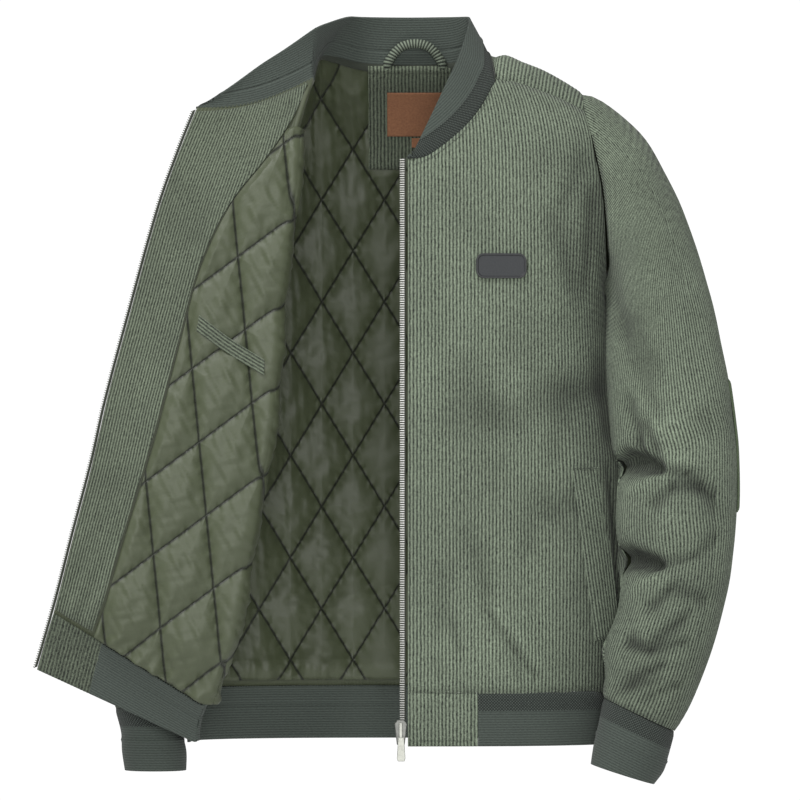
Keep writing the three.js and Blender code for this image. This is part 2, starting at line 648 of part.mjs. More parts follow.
// Patch inside the back of the neck, with its label, size tab and hanger loop
const flatPatch = (x0, x1, z0, z1, offset, thick, cols = 5, rows = 4) => {
  const grid = steps(z0, z1, rows).map((z) => steps(x0, x1, cols).map((x) => {
    const p = bodyPoint(x, z, true);
    return { p, n: bodyNormal(p) };
  }));
  return layer(grid, -offset, -(offset + thick));
};
const ON_LINING = SHELL + LOOSE_LINING + LINING + 0.8;
add('neck_patch', 'corduroy', flatPatch(-44, 48, -14, -110, ON_LINING, 1.6, 6, 7));
add('label', 'label', flatPatch(-24, 44, -19, -67, ON_LINING + 2.4, 1.2, 4, 4));
add('size_tab', 'label', flatPatch(2, 20, -69, -80, ON_LINING + 2.2, 1, 2, 2));

function hangerLoop() {
  const foot = (x) => {
    const p = bodyPoint(x, -16, true);
    return p.addScaledVector(bodyNormal(p), -(ON_LINING + 1.6 + 4.6));
  };
  const rise = new THREE.CatmullRomCurve3([
    foot(-25), V(-21, 21, 4), V(-9, 16, 21), V(6, 15, 25.5), V(20, 16, 21), V(32, 21, 4), foot(36),
  ]);
  const circle = new THREE.Shape();
  circle.absarc(0, 0, 4, 0, 2 * PI);
  return new THREE.ExtrudeGeometry(circle, { steps: 20, curveSegments: 5, extrudePath: rise });
}
add('hanger_loop', 'corduroy', hangerLoop());

// Welt pockets: a slanted welt on each front and one inside the open side
const weltLeft = steps(0, 1, 6).map((t) => steps(0, 1, 3).map((s) => {
  const x = mix(mix(169, 193, t), mix(199, 218, t), s);
  const z = mix(mix(-425, -603, t), mix(-421, -597, t), s);
  const p = bodyPoint(x, z, false);
  return { p, n: bodyNormal(p) };
}));
add('pocket_welt_left', 'corduroy', layer(weltLeft, 1.2, 3.2));
const weltRight = resample(right, steps(1.6, 3.4, 3), steps(12.2, 15.6, 6));
add('pocket_welt_right', 'corduroy', layer(weltRight, 0.5, 2.5));
const INNER_WELT = table('share row', [[0.02, 10.15], [0.26, 9.6], [0.5, 9]]);
const weltInside = [0, INNER_WELT_HEIGHT].map((low) => INNER_WELT.map(({ share, row }) => between(
  right, ROLL_END + OPEN_FLAP * share, row + low)));
add('inner_pocket_welt', 'corduroy', layer(weltInside, -(SHELL + LOOSE_LINING + LINING + PUFF - 0.8),
  -(SHELL + LOOSE_LINING + LINING + PUFF + 1.2)));

// Badge on the chest: left bare, with rounded corners
function badge() {
  const [width, height, radius, centreX, centreZ] = [53, 26, 8, 94.7, -212];
  const w = width / 2;
  const h = height / 2;
  const outline = new THREE.Shape();
  outline.absarc(w - radius, h - radius, radius, 0, PI / 2);
  outline.absarc(radius - w, h - radius, radius, PI / 2, PI);
  outline.absarc(radius - w, radius - h, radius, PI, 1.5 * PI);
  outline.absarc(w - radius, radius - h, radius, 1.5 * PI, 2 * PI);
  const solid = new THREE.ExtrudeGeometry(outline, { depth: 2.6, bevelEnabled: false, curveSegments: 4 });
  const p = bodyPoint(centreX, centreZ, false);
  const n = bodyNormal(p);
  solid.applyQuaternion(new THREE.Quaternion().setFromUnitVectors(V(0, 0, 1), n));
  solid.applyMatrix4(new THREE.Matrix4().makeTranslation(...p.addScaledVector(n, 0.4).toArray()));
  return solid;
}
add('badge', 'rubber', badge());

// Zip: a tape and a chain of teeth on each edge, and the slider at the closed side's foot
function zipLeft(x0, x1, y0, y1) {
  const rows = steps(ZIP_TOP, ZIP_FOOT, 12);
  const face = (y) => rows.map((z) => [x0, x1].map((x) => V(x, bodyPoint(FRONT_EDGE, z, false).y + y, z)));
  return wall(face(y0), face(y1));
}
add('zip_tape_left', 'tape', zipLeft(-4.6, -2.35, 0.6, 1.8));
add('zip_chain_left', 'metal', zipLeft(-10.4, -4.9, -0.4, 3));
function zipRight(from, to, y0, y1) {
  const rows = steps(0.004, 1.085, 16).map((v) => ['x', 'y', 'z'].map((name) => look(OPEN_EDGE, 'v', name, v)));
  const face = (y) => rows.map(([x, d, z]) => [from, to].map((out) => V(x - out, d + y, z - out * ZIP_LEAN)));
  return wall(face(y0), face(y1));
}
add('zip_tape_right', 'tape', zipRight(0.5, 2.6, -1.6, -0.4));
add('zip_chain_right', 'metal', zipRight(2.9, 7.2, -2.6, 0.6));

function zipSlider() {
  const outline = new THREE.Shape();
  const [w, top, low] = [6.6, -684, -710];
  outline.moveTo(-w, top - 4);
  outline.lineTo(-w + 3, top);
  outline.lineTo(w - 3, top);
  outline.lineTo(w, top - 4);
  outline.lineTo(w - 2.5, low);
  outline.lineTo(2.5 - w, low);
  outline.closePath();
  const solid = new THREE.ExtrudeGeometry(outline, { depth: 7, bevelEnabled: false });
  solid.rotateX(PI / 2);
  solid.translate(-9.6, -93, 0);
  return solid;
}
add('zip_slider', 'metal', zipSlider());

function pullTab() {
  const outline = new THREE.Shape();
  const [w, top, low] = [4.6, -702, -727];
  outline.moveTo(-w + 1.5, top);
  outline.lineTo(w - 1.5, top);
  outline.lineTo(w, low + 1.5);
  outline.lineTo(w - 1.5, low);
  outline.lineTo(1.5 - w, low);
  outline.lineTo(-w, low + 1.5);
  outline.closePath();
  const solid = new THREE.ExtrudeGeometry(outline, { depth: 1.8, bevelEnabled: false });
  solid.rotateX(PI / 2);
  solid.translate(-9.2, -100.9, 0);
  return solid;
}
add('pull_tab', 'metal', pullTab());

export default parts;
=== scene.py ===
# Corduroy bomber jacket: finished cloth, quilted lining, rib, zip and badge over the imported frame.
# Tables are in millimetres, in the frame's axes; meshes are made in metres.
import math

import bmesh
import bpy
import numpy as np
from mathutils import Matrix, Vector


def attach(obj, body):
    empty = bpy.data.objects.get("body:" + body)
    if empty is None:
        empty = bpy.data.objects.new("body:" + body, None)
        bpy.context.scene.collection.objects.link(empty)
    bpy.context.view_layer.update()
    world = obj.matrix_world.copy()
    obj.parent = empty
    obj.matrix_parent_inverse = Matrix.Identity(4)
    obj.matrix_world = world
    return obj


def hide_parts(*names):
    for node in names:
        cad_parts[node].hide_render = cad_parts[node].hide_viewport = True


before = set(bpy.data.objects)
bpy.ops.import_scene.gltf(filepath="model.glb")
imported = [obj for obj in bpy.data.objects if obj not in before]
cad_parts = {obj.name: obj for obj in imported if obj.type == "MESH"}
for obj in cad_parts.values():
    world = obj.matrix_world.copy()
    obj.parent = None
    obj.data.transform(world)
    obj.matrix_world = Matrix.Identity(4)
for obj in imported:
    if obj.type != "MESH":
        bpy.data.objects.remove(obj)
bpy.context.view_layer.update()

MM = 0.001
JACKET = "jacket"
PULL = "zip_pull"

# Driving sizes, as in the solids
SHELL = 2.0
LOOSE = 1.0
LOOSE_LINING = 2.6
LINING = 1.6
PUFF = 5.0
DIAMOND_HALF = (34.0, 54.6)
QUILT_CENTRE = (-27.0, -246.5)
HEM_TOP = -657.0
HEM_BOTTOM = -712.0
FRONT_EDGE = -2.0
NECK_LEFT = 89.0
NECK_RIGHT = 104.0
SHOULDER_END = 184.0
CAP = 90.0
ROUND = 2.6
ARM_MIDDLE = -133.0
ARM_HALF = 105.0
ARM_STEPS = 20
STEP = 2 * math.pi / ARM_STEPS
SEAM_STEP = 2
OVERARM_STEP = 3
NECK_RISE = 0.52
SIDE_ROWS = 9
OPEN_BODY = 5
OPEN_ROLL = 4
OPEN_FLAP = 6
ROLL_END = OPEN_BODY + OPEN_ROLL
OPEN_END = ROLL_END + OPEN_FLAP
OPEN_NECK_SAG = 9.0
WALE = 3.75
WALE_HEIGHT = 0.5


def table(names, rows):
    return {name: [row[k] for row in rows] for k, name in enumerate(names.split())}


BODY = table("z left right front back", [
    (10, 203, 203, 58, 60), (-50, 216, 212, 72, 78), (-100, 220, 208, 85, 92),
    (-150, 220, 203, 92, 99), (-200, 214, 195, 98, 102), (-238, 208, 188, 101, 103),
    (-300, 211, 189, 105, 104), (-400, 219, 196, 108, 104), (-500, 226, 209, 108, 103),
    (-600, 229, 224, 104, 100), (-657, 226, 233, 100, 97), (-712, 216, 234, 93, 90),
])
SHOULDER = table("x top", [
    (0, 12.5), (92, 12.5), (122, 3), (151, -8.5), (171, -21), (184, -30), (222, -70),
])
SHOULDER_SEAM = table("x z", [
    (89, -11.5), (104, -15.7), (119, -20), (141, -27.5), (164, -37), (184, -48),
])
ARMHOLE = table("z left right", [
    (-28, 182, 182), (-48, 184, 182), (-72, 189.5, 184), (-107, 197, 186),
    (-135, 202, 187), (-180, 205.5, 187), (-238, 208, 188),
])
NECKLINE = table("x z", [
    (-2, -99), (6, -100), (29, -88.5), (50, -72), (64, -56.5), (74, -42.5), (83, -26), (89, -11.5),
])
FOLD = table("v x z radius", [
    (0, -104, -16, 2), (0.09, -122, -72, 5), (0.2, -129, -140, 7), (0.38, -146, -255, 8),
    (0.55, -152, -352, 8), (0.67, -163, -431, 8), (0.8, -182, -533, 8), (0.92, -198, -614, 8),
    (1, -221, -668, 7), (1.09, -229, -708, 6),
])
OPEN_EDGE = table("v x y z", [
    (0, -222, -84, -47), (0.09, -239, -90, -90), (0.2, -260, -95, -150), (0.38, -291, -102, -262),
    (0.55, -315, -104, -352), (0.67, -329, -104, -414), (0.8, -349, -103, -490),
    (0.92, -363, -100, -545), (1, -371, -97, -574), (1.09, -388, -94, -632),
])
FACING_EDGE = table("v share", [
    (0, 0.0), (0.07, 0.04), (0.12, 0.16), (0.2, 0.42), (0.3, 0.56), (0.42, 0.6),
    (0.6, 0.65), (0.8, 0.71), (1, 0.74),
])
SLEEVE_COLUMNS = "ox oz ix iz y b"
SLEEVE_LEFT = table(SLEEVE_COLUMNS, [
    (182, -28, 208, -238, 0, 48), (199, -35, 210, -241, -1, 52), (221, -50, 211, -246, -2, 57),
    (245, -74, 212, -254, -3, 62), (263, -102, 212, -264, -8, 66), (279, -135, 212, -277, -14, 67),
    (292, -170, 212, -291, -20, 66), (302, -204, 212.5, -308, -26, 65),
    (311, -240, 213.5, -328, -32, 64), (318, -272, 215, -350, -37, 63),
    (325, -306, 217.5, -378, -42, 62), (332, -345, 220, -404, -46, 61),
    (337, -378, 230, -424, -51, 54), (340, -405, 226, -445, -54, 58),
    (341.5, -448, 224, -482, -58, 58), (340, -487, 231, -520, -61, 51),
    (337, -514, 229, -545, -64, 54), (331, -552, 225, -573, -67, 53),
    (322, -590, 215, -598, -74, 51), (309, -627, 208, -624, -80, 48),
    (292, -668, 202, -650, -86, 42), (276, -696, 201.5, -661, -90, 37),
])
SLEEVE_RIGHT = table(SLEEVE_COLUMNS, [
    (-182, -28, -188, -238, 0, 48), (-191, -35, -190, -241, 1, 51), (-206, -51, -191, -246, 2, 54),
    (-218, -73, -193, -254, 3, 57), (-231, -102, -195, -264, 4, 59), (-243, -138, -198, -277, 5, 60),
    (-256, -177, -202, -292, 6, 60), (-268, -215, -206, -309, 7, 60),
    (-281, -253, -211, -328, 8, 60), (-294, -296, -216, -352, 8, 60),
    (-306, -342, -222, -378, 8, 60), (-312, -388, -225, -414, 8, 60),
    (-316, -445, -228, -461, 10, 56), (-319, -508, -233, -518, 12, 57),
    (-320, -570, -241, -575, 13, 54), (-318, -627, -246, -630, 14, 48),
    (-312, -676, -247, -676, 14, 42),
])
CUFF_LEFT = table(SLEEVE_COLUMNS, [
    (275.7, -696.5, 201.3, -661.5, -90, 36.5), (268, -721, 197, -689, -91, 37),
    (263, -737, 192, -711, -91, 35), (254, -751, 188, -730, -92, 32),
])
CUFF_RIGHT = table(SLEEVE_COLUMNS, [
    (-311.6, -676.5, -247.4, -676.5, 14, 41.5), (-304, -702, -242, -702, 14, 38),
    (-303, -722, -237, -722, 13, 36), (-301, -742, -236, -742, 12, 33),
])
COLLAR_EDGE = table("share x y z", [
    (0, 3, -85, -94), (0.05, 16, -81, -67), (0.095, 27, -74, -44), (0.157, 43, -60, -9),
    (0.21, 51, -46, 8), (0.26, 57, -31, 26), (0.33, 64, -6, 50), (0.4, 55, 14, 53),
    (0.515, 0, 24, 53), (0.62, -50, 14, 53), (0.7, -70, -8, 52), (0.74, -87, -28, 46),
    (0.78, -103, -46, 36), (0.84, -130, -56, 16), (0.9, -158, -64, -2), (0.95, -185, -74, -23),
    (1, -214, -83, -42),
])


# Arithmetic
def mix(a, b, t):
    return a + (b - a) * t


def clamp(t):
    return min(1.0, max(0.0, t))


def power(value, exponent):
    return math.copysign(abs(value) ** exponent, value)


def look(rows, key, name, at):
    """Smooth value of a table's column at a key."""
    keys, values = rows[key], rows[name]
    last = len(keys) - 1
    up = 1 if keys[-1] > keys[0] else -1
    k = 0
    while k < last - 1 and up * at > up * keys[k + 1]:
        k += 1

    def slope(m):
        a, b = max(0, m - 1), min(last, m + 1)
        return (values[b] - values[a]) / (keys[b] - keys[a])

    width = keys[k + 1] - keys[k]
    t = clamp((at - keys[k]) / width)
    s = t * t * (3 - 2 * t)
    bend = t * (1 - t) * ((1 - t) * slope(k) - t * slope(k + 1)) * width
    return mix(values[k], values[k + 1], s) + bend


def steps(start, end, count):
    return [mix(start, end, k / count) for k in range(count + 1)]


def unit(v):
    return v / max(1e-9, float(np.linalg.norm(v)))


def vec(*values):
    return np.array(values, dtype=float)


# The body's surface
def half_width(x, z):
    return look(BODY, "z", "right" if x < 0 else "left", z)


def shoulder_top(x):
    return look(SHOULDER, "x", "top", abs(x))


def section(share):
    return max(0.0, 1 - abs(share) ** ROUND) ** (1 / ROUND)


def depth_at(z, back):
    return look(BODY, "z", "back" if back else "front", z)


def body_point(x, z, back):
    cap = math.sqrt(1 - (1 - clamp((shoulder_top(x) - z) / CAP)) ** 2)
    y = depth_at(z, back) * section(x / half_width(x, z)) * cap
    return vec(x, y if back else -y, z)


def body_normal(p):
    """Outward direction of the body's surface, from the slope of its equation."""
    def level(x, y, z):
        rise = max(0.0, (z - shoulder_top(x) + CAP) / CAP)
        across = power(1 - (abs(x) / half_width(x, z)) ** ROUND, 2 / ROUND)
        return (y / depth_at(z, p[1] > 0)) ** 2 - across * (1 - rise * rise)

    h = 0.02
    x, y, z = p
    return unit(vec(
        level(x + h, y, z) - level(x - h, y, z),
        level(x, y + h, z) - level(x, y - h, z),
        level(x, y, z + h) - level(x, y, z - h)))


def arm_point(step, left):
    z = ARM_MIDDLE + ARM_HALF * math.cos(step * STEP)
    x = look(ARMHOLE, "z", "left" if left else "right", z)
    return body_point(x if left else -x, z, step < 0)


def body_grid(xs, zs, back):
    return np.array([[body_point(x, z, back) for x in xs] for z in zs])


# Panels as coarse grids of points
BELOW = steps(ARM_MIDDLE - ARM_HALF, HEM_TOP, SIDE_ROWS)[1:]
FRONT_STEPS = steps(SEAM_STEP, ARM_STEPS / 2, ARM_STEPS // 2 - SEAM_STEP)
BACK_STEPS = steps(SEAM_STEP, -ARM_STEPS / 2, ARM_STEPS // 2 + SEAM_STEP)


def edge_rows(list_of_steps, left):
    side = 1 if left else -1
    seam = [vec(side * half_width(side, z), 0, z) for z in BELOW]
    return [arm_point(step, left) for step in list_of_steps] + seam


def column_x(neck):
    return [mix(neck, SHOULDER_END, share) for share in (0, 0.25, 0.5, 0.75, 1)]


def front_left():
    edge = edge_rows(FRONT_STEPS, True)
    tops = [-2, 15, 31, 47, 62, 75, 84, *column_x(NECK_LEFT)]
    count = len(tops) - 1
    grid = []
    for end in edge:
        down = (end[2] - edge[0][2]) / (HEM_TOP - edge[0][2])
        row = []
        for i, x0 in enumerate(tops):
            high = (x0 - FRONT_EDGE) / (SHOULDER_END - FRONT_EDGE)
            low = math.sin(i / count * math.pi / 2) ** (2 / ROUND)
            share = mix(high, low, clamp(down / 0.4))
            rows = NECKLINE if x0 < NECK_LEFT else SHOULDER_SEAM
            z = mix(look(rows, "x", "z", x0), HEM_TOP, down)
            row.append(end if i == count else body_point(mix(FRONT_EDGE, end[0], share), z, False))
        grid.append(row)
    return np.array(grid)


def back_panel():
    left = edge_rows(BACK_STEPS, True)
    right = edge_rows(BACK_STEPS, False)
    inner = (0.3, 0.55, 0.78, 0.93)
    tops = [-x for x in reversed(column_x(NECK_RIGHT))] + [-s * NECK_RIGHT for s in reversed(inner)]
    tops += [0] + [s * NECK_LEFT for s in inner] + column_x(NECK_LEFT)
    middle = tops.index(0)

    def along(row, rows):
        p = rows[row]
        turn = math.pi / 2
        if row < len(BACK_STEPS):
            turn = math.acos(clamp(1 - (shoulder_top(p[0]) - p[2]) / CAP))
            turn = -turn if BACK_STEPS[row] > 0 else turn
        return CAP * turn + max(0.0, shoulder_top(p[0]) - CAP - p[2])

    grid = []
    for j in range(len(left)):
        row = []
        for i, x0 in enumerate(tops):
            rows = right if x0 < 0 else left
            last = len(rows) - 1
            count = middle if x0 < 0 else len(tops) - 1 - middle
            if abs(i - middle) == count:
                row.append(rows[j])
                continue
            down = (along(j, rows) - along(0, rows)) / (along(last, rows) - along(0, rows))
            neck = NECK_RIGHT if x0 < 0 else NECK_LEFT
            low = math.sin(abs(i - middle) / count * math.pi / 2) ** (2 / ROUND)
            x = mix(abs(x0) / SHOULDER_END, low, clamp(down / 0.5)) * rows[j][0]
            seam_x = max(abs(x0), neck)
            drop = shoulder_top(seam_x) - look(SHOULDER_SEAM, "x", "z", seam_x)
            in_neck = math.sqrt(max(0.0, 1 - min(1.0, abs(x0) / neck) ** 4))
            start = mix(-math.acos(clamp(1 - drop / CAP)), NECK_RISE, in_neck)
            length = CAP * (math.pi / 2 - start) + shoulder_top(x) - CAP - HEM_TOP
            run = start * CAP + down * length
            turn = min(math.pi / 2, run / CAP)
            z = shoulder_top(x) - CAP * (1 - math.cos(turn)) - max(0.0, run - CAP * math.pi / 2)
            row.append(body_point(x, z, turn > 0))
        grid.append(row)
    return np.array(grid)


def open_row(v, edge, hem=False):
    """A row of the open side: side seam, body, roll of the fold, and flap out to the zip edge."""
    x, z, radius = (look(FOLD, "v", name, v) for name in ("x", "z", "radius"))
    start = body_point(x, z, False)
    width = half_width(-1, edge[2])
    turns = [math.acos(clamp(abs(at) / width) ** (ROUND / 2)) for at in (edge[0], x)]
    row = [edge]
    for k in range(1, OPEN_BODY):
        at = -width * math.cos(mix(*turns, k / OPEN_BODY)) ** (2 / ROUND)
        row.append(body_point(at, mix(edge[2], z, (at - edge[0]) / (x - edge[0])), False))
    for turn in steps(0, math.pi, OPEN_ROLL):
        row.append(start + vec(radius * math.sin(turn), -radius * (1 - math.cos(turn)), 0))
    last = row[-1]
    zip_point = vec(*(look(OPEN_EDGE, "v", name, v) for name in "xyz"))
    for share in steps(0, 1, OPEN_FLAP)[1:]:
        p = mix(last, zip_point, share)
        if not hem:
            p[2] -= OPEN_NECK_SAG * clamp(1 - v / 0.15) * math.sin(math.pi * share)
        row.append(p)
    return row


def front_right():
    edge = edge_rows(FRONT_STEPS, False)
    grid = [open_row((end[2] - edge[0][2]) / (HEM_TOP - edge[0][2]), end) for end in edge]
    for k in range(1, OPEN_BODY + 1):
        x = mix(edge[0][0], -NECK_RIGHT, k / OPEN_BODY)
        grid[0][k] = body_point(x, look(SHOULDER_SEAM, "x", "z", -x), False)
    return np.array(grid)


def hem_band():
    grid = []
    for share in (0, 0.5, 1):
        z = mix(HEM_TOP + 1.2, HEM_BOTTOM, share)
        row = [body_point(x, z, False) for x in steps(71, 200, 3)]
        around = [math.cos(t) for t in steps(0, math.pi / 2, 6)]
        around += [-math.cos(t) for t in reversed(steps(0, math.pi / 2, 6))][1:]
        row += [body_point(power(x, 2 / ROUND) * half_width(x, z), z, True) for x in around]
        edge = vec(-half_width(-1, z), 0, z)
        row += open_row(mix(0.997, 1.09, share), edge, True)[1:]
        grid.append(row)
    return np.array(grid)


def ring_points(at, k):
    outer = vec(at["ox"][k], at["y"][k], at["oz"][k])
    inner = vec(at["ix"][k], at["y"][k], at["iz"][k])
    return [
        (outer + inner) / 2 + (outer - inner) / 2 * power(math.cos(s * STEP), 0.92)
        + vec(0, -at["b"][k] * power(math.sin(s * STEP), 0.92), 0)
        for s in range(ARM_STEPS)]


def sleeve_tube(at, left):
    """Rings of a sleeve, the first ones fitted to the armhole."""
    plain = ring_points(at, 0)
    hole = [arm_point(s - ARM_STEPS if s > ARM_STEPS / 2 else s, left) for s in range(ARM_STEPS)]
    keeps = (1, 0.7, 0.4, 0.15)
    rings = []
    for k in range(len(at["ox"])):
        keep = keeps[k] if k < len(keeps) else 0
        ring = [p + keep * (h - q) for p, h, q in zip(ring_points(at, k), hole, plain)]
        if k == 0:
            ring = [p + vec(0.45 if left else -0.45, 0, 0) for p in ring]
        rings.append(ring)
    return np.array(rings)


def collar_band(left, back, right):
    neck = [p for p in back[0] if -NECK_RIGHT - 0.5 < p[0] < NECK_LEFT + 0.5]
    seam = [p for p in left[0] if p[0] < NECK_LEFT - 0.5] + neck[::-1] + list(right[0][OPEN_BODY + 1:])
    run = [0.0]
    for a, b in zip(seam, seam[1:]):
        run.append(run[-1] + float(np.linalg.norm(b - a)))
    free = [vec(*(look(COLLAR_EDGE, "share", name, at / run[-1]) for name in "xyz")) for at in run]
    rows = [[mix(p, q, mix(-1.6 / float(np.linalg.norm(q - p)), 1.0, up)) for p, q in zip(seam, free)]
            for up in (0, 0.35, 0.7, 1)]
    return np.array(rows)


# Fine surfaces from coarse grids
def curve_through(grid, at):
    """Points of a grid's first direction at fractional rows, on smooth curves."""
    first, last = 2 * grid[0] - grid[1], 2 * grid[-1] - grid[-2]
    padded = np.concatenate([first[None], grid, last[None]])
    at = np.clip(np.asarray(at, dtype=float), 0, len(grid) - 1)
    k = np.minimum(at.astype(int), len(grid) - 2)
    t = (at - k).reshape((-1,) + (1,) * (grid.ndim - 1))
    a, b, c, d = (padded[k + m] for m in range(4))
    squared, cubed = 2 * a - 5 * b + 4 * c - d, 3 * b - a - 3 * c + d
    return 0.5 * (2 * b + (c - a) * t + squared * t ** 2 + cubed * t ** 3)


def evenly(line, count, start=0.0, end=None):
    """Fractional places along a line of points, evenly spaced in length."""
    end = len(line) - 1 if end is None else end
    fine = np.linspace(start, end, 600)
    points = curve_through(np.asarray(line), fine)
    run = np.concatenate([[0], np.cumsum(np.linalg.norm(np.diff(points, axis=0), axis=1))])
    return np.interp(np.linspace(0, run[-1], count), run, fine)


def surface(grid, rows, columns):
    """A fine grid at fractional rows and columns; columns may differ from row to row."""
    lines = curve_through(grid, rows)
    if np.ndim(columns) == 1:
        return curve_through(lines.transpose(1, 0, 2), columns).transpose(1, 0, 2)
    return np.array([curve_through(line, at) for line, at in zip(lines, columns)])


def normals(points):
    n = np.cross(np.gradient(points, axis=1), np.gradient(points, axis=0))
    return n / np.maximum(1e-9, np.linalg.norm(n, axis=2, keepdims=True))


def facing_away(points, centre, j, i):
    """Normals of a fine grid, turned so that the one at j, i points away from a centre."""
    n = normals(points)
    return n * np.sign(np.sum(n[j, i] * (points[j, i] - centre)))


def lengths(points, axis, flat=False):
    """Distance run along a fine grid's rows (axis 1) or columns (axis 0)."""
    d = np.diff(points, axis=axis)
    if flat:
        d = d[..., :2]
    run = np.cumsum(np.linalg.norm(d, axis=2), axis=axis)
    start = np.zeros_like(np.take(run, [0], axis=axis))
    return np.concatenate([start, run], axis=axis)


def cloth_map(points):
    """Distances run across and down a fine grid, which the cloth's pattern follows."""
    return np.stack([lengths(points, 1), lengths(points, 0)], axis=2)


def lifted(points, n, height):
    return points + n * height[..., None]


def bell(distance, width):
    """A smooth hump: 1 at no distance, and little past a width."""
    return np.exp(-(distance / width) ** 2)


def ramp(value, start, reach):
    """0 up to a start, rising to 1 at a reach past it."""
    return np.clip((value - start) / reach, 0, 1)


def soft_noise(x, z, size, seed=0.0):
    """Smooth unevenness between -1 and 1, from a few waves that never line up."""
    a, b = x / size, z / size
    total = np.sin(1.7 * a + 0.9 * b + seed) + np.sin(-1.1 * a + 1.9 * b + 2.3 * seed + 1)
    total += np.sin(2.9 * a + 0.4 * b + 4.1 + seed) + np.sin(0.6 * a - 2.7 * b + 0.7 * seed)
    return total / 4


def wales(u):
    """Height of the corduroy's ridges at a distance across the cloth."""
    return WALE_HEIGHT * (np.abs(np.cos(math.pi * u / WALE)) ** 0.8 - 0.6)


def fold_shade(folds):
    """Painted shade in a fold's trough, and a slight painted highlight on a raised fold."""
    return np.clip(-folds * 0.085, -0.12, 0.68)


def crease(points, x0, z0, x1, z1, width, depth):
    """A soft trough along a line seen from the front, fading at its ends."""
    a, b = np.array([x0, z0]), np.array([x1, z1])
    q = points[..., [0, 2]] - a
    along = (q @ (b - a)) / float(np.sum((b - a) ** 2))
    t = np.clip(along, 0, 1)
    off = np.linalg.norm(q - t[..., None] * (b - a), axis=-1)
    fade = np.clip(np.minimum(along, 1 - along) * 4 + 0.45, 0, 1)
    return -depth * fade * bell(off, width * (1.3 - 0.6 * t))


def tuck(points, n, sides, depth=1.1, reach=3.0):
    """Rolls the edges of a panel in at its seams."""
    across, down = lengths(points, 1), lengths(points, 0)
    gaps = {"left": across, "right": across[:, -1:] - across, "top": down, "bottom": down[-1:] - down}
    sink = sum(bell(gaps[side], reach) for side in sides)
    return lifted(points, n, -depth * np.minimum(1, sink))


# Meshes
def mesh_of(bm, name):
    """The mesh of a bmesh, its faces turned outwards."""
    bmesh.ops.recalc_face_normals(bm, faces=bm.faces)
    mesh = bpy.data.meshes.new(name)
    bm.to_mesh(mesh)
    bm.free()
    return mesh


def upper_verts(made):
    """The vertices that an extrusion has made."""
    return [part for part in made["geom"] if isinstance(part, bmesh.types.BMVert)]


def grid_mesh(name, points, outward, uv, ring, painted_shade):
    """A mesh grid moved to its points, with a map in metres of cloth."""
    rows, columns = points.shape[:2]
    bm = bmesh.new()
    bmesh.ops.create_grid(bm, x_segments=columns - 1, y_segments=rows - 1, size=1)
    mesh = mesh_of(bm, name)
    flat = np.empty(len(mesh.vertices) * 3)
    mesh.vertices.foreach_get("co", flat)
    flat = flat.reshape(-1, 3)
    i = np.rint((flat[:, 0] + 1) / 2 * (columns - 1)).astype(int)
    j = np.rint((flat[:, 1] + 1) / 2 * (rows - 1)).astype(int)
    mesh.vertices.foreach_set("co", (points[j, i] * MM).ravel())
    loops = np.empty(len(mesh.loops), dtype=np.int32)
    mesh.loops.foreach_get("vertex_index", loops)
    layer = mesh.uv_layers.new(name="cloth")
    layer.data.foreach_set("uv", (uv[j, i][loops] * MM).ravel())
    # Painted shade, kept as a point attribute that darkens the corduroy.
    if painted_shade is not None:
        attribute = mesh.attributes.new("painted_shade", "FLOAT", "POINT")
        attribute.data.foreach_set("value", painted_shade[j, i].astype(np.float32))
    mesh.update()
    face = mesh.polygons[len(mesh.polygons) // 2]
    corner = face.vertices[0]
    if np.dot(np.array(face.normal), outward[j[corner], i[corner]]) < 0:
        mesh.flip_normals()
    if ring:
        bm = bmesh.new()
        bm.from_mesh(mesh)
        bmesh.ops.remove_doubles(bm, verts=bm.verts, dist=1e-6)
        bm.to_mesh(mesh)
        bm.free()
    mesh.shade_smooth()
    return mesh


def finish(name, mesh, material, node, body=JACKET):
    obj = bpy.data.objects.new(name, mesh)
    bpy.context.scene.collection.objects.link(obj)
    if not mesh.materials:
        mesh.materials.append(material)
    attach(obj, body)
    if node:
        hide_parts(node)
    return obj


def cloth(name, points, outward, material, node, thick, uv, inside=None,
          plain=None, painted_shade=None, ring=False, narrow=False):
    """A sheet of cloth: its outer face at the points, its wall inwards. A narrow one stops before its
    sizes are worked out.

    Its flat size comes from the points, and its area from the plain form, without ridges."""
    mesh = grid_mesh(name, points, outward, uv, ring, painted_shade)
    mesh.materials.append(material)
    obj = finish(name, mesh, material, node)
    wall = obj.modifiers.new("wall", "SOLIDIFY")
    wall.thickness = thick * MM
    wall.offset = -1
    if inside:
        mesh.materials.append(inside)
        wall.material_offset = 1
    if narrow:
        return
    width = float(lengths(points, 1)[:, -1].max()) * MM
    length = float(lengths(points, 0)[-1].max()) * MM
    d = points if plain is None else plain
    cells = np.cross(d[1:, 1:] - d[:-1, :-1], d[1:, :-1] - d[:-1, 1:])
    area = float(np.linalg.norm(cells, axis=2).sum() / 2) * MM * MM
    area = min(max(area, 0.3 * width * length), width * length)


# Materials
def linear(*rgb):
    """A colour of 0 to 255 steps as the linear one that a shader takes."""
    return tuple((c / 255 / 12.92) if c < 11 else ((c / 255 + 0.055) / 1.055) ** 2.4 for c in rgb) + (1,)


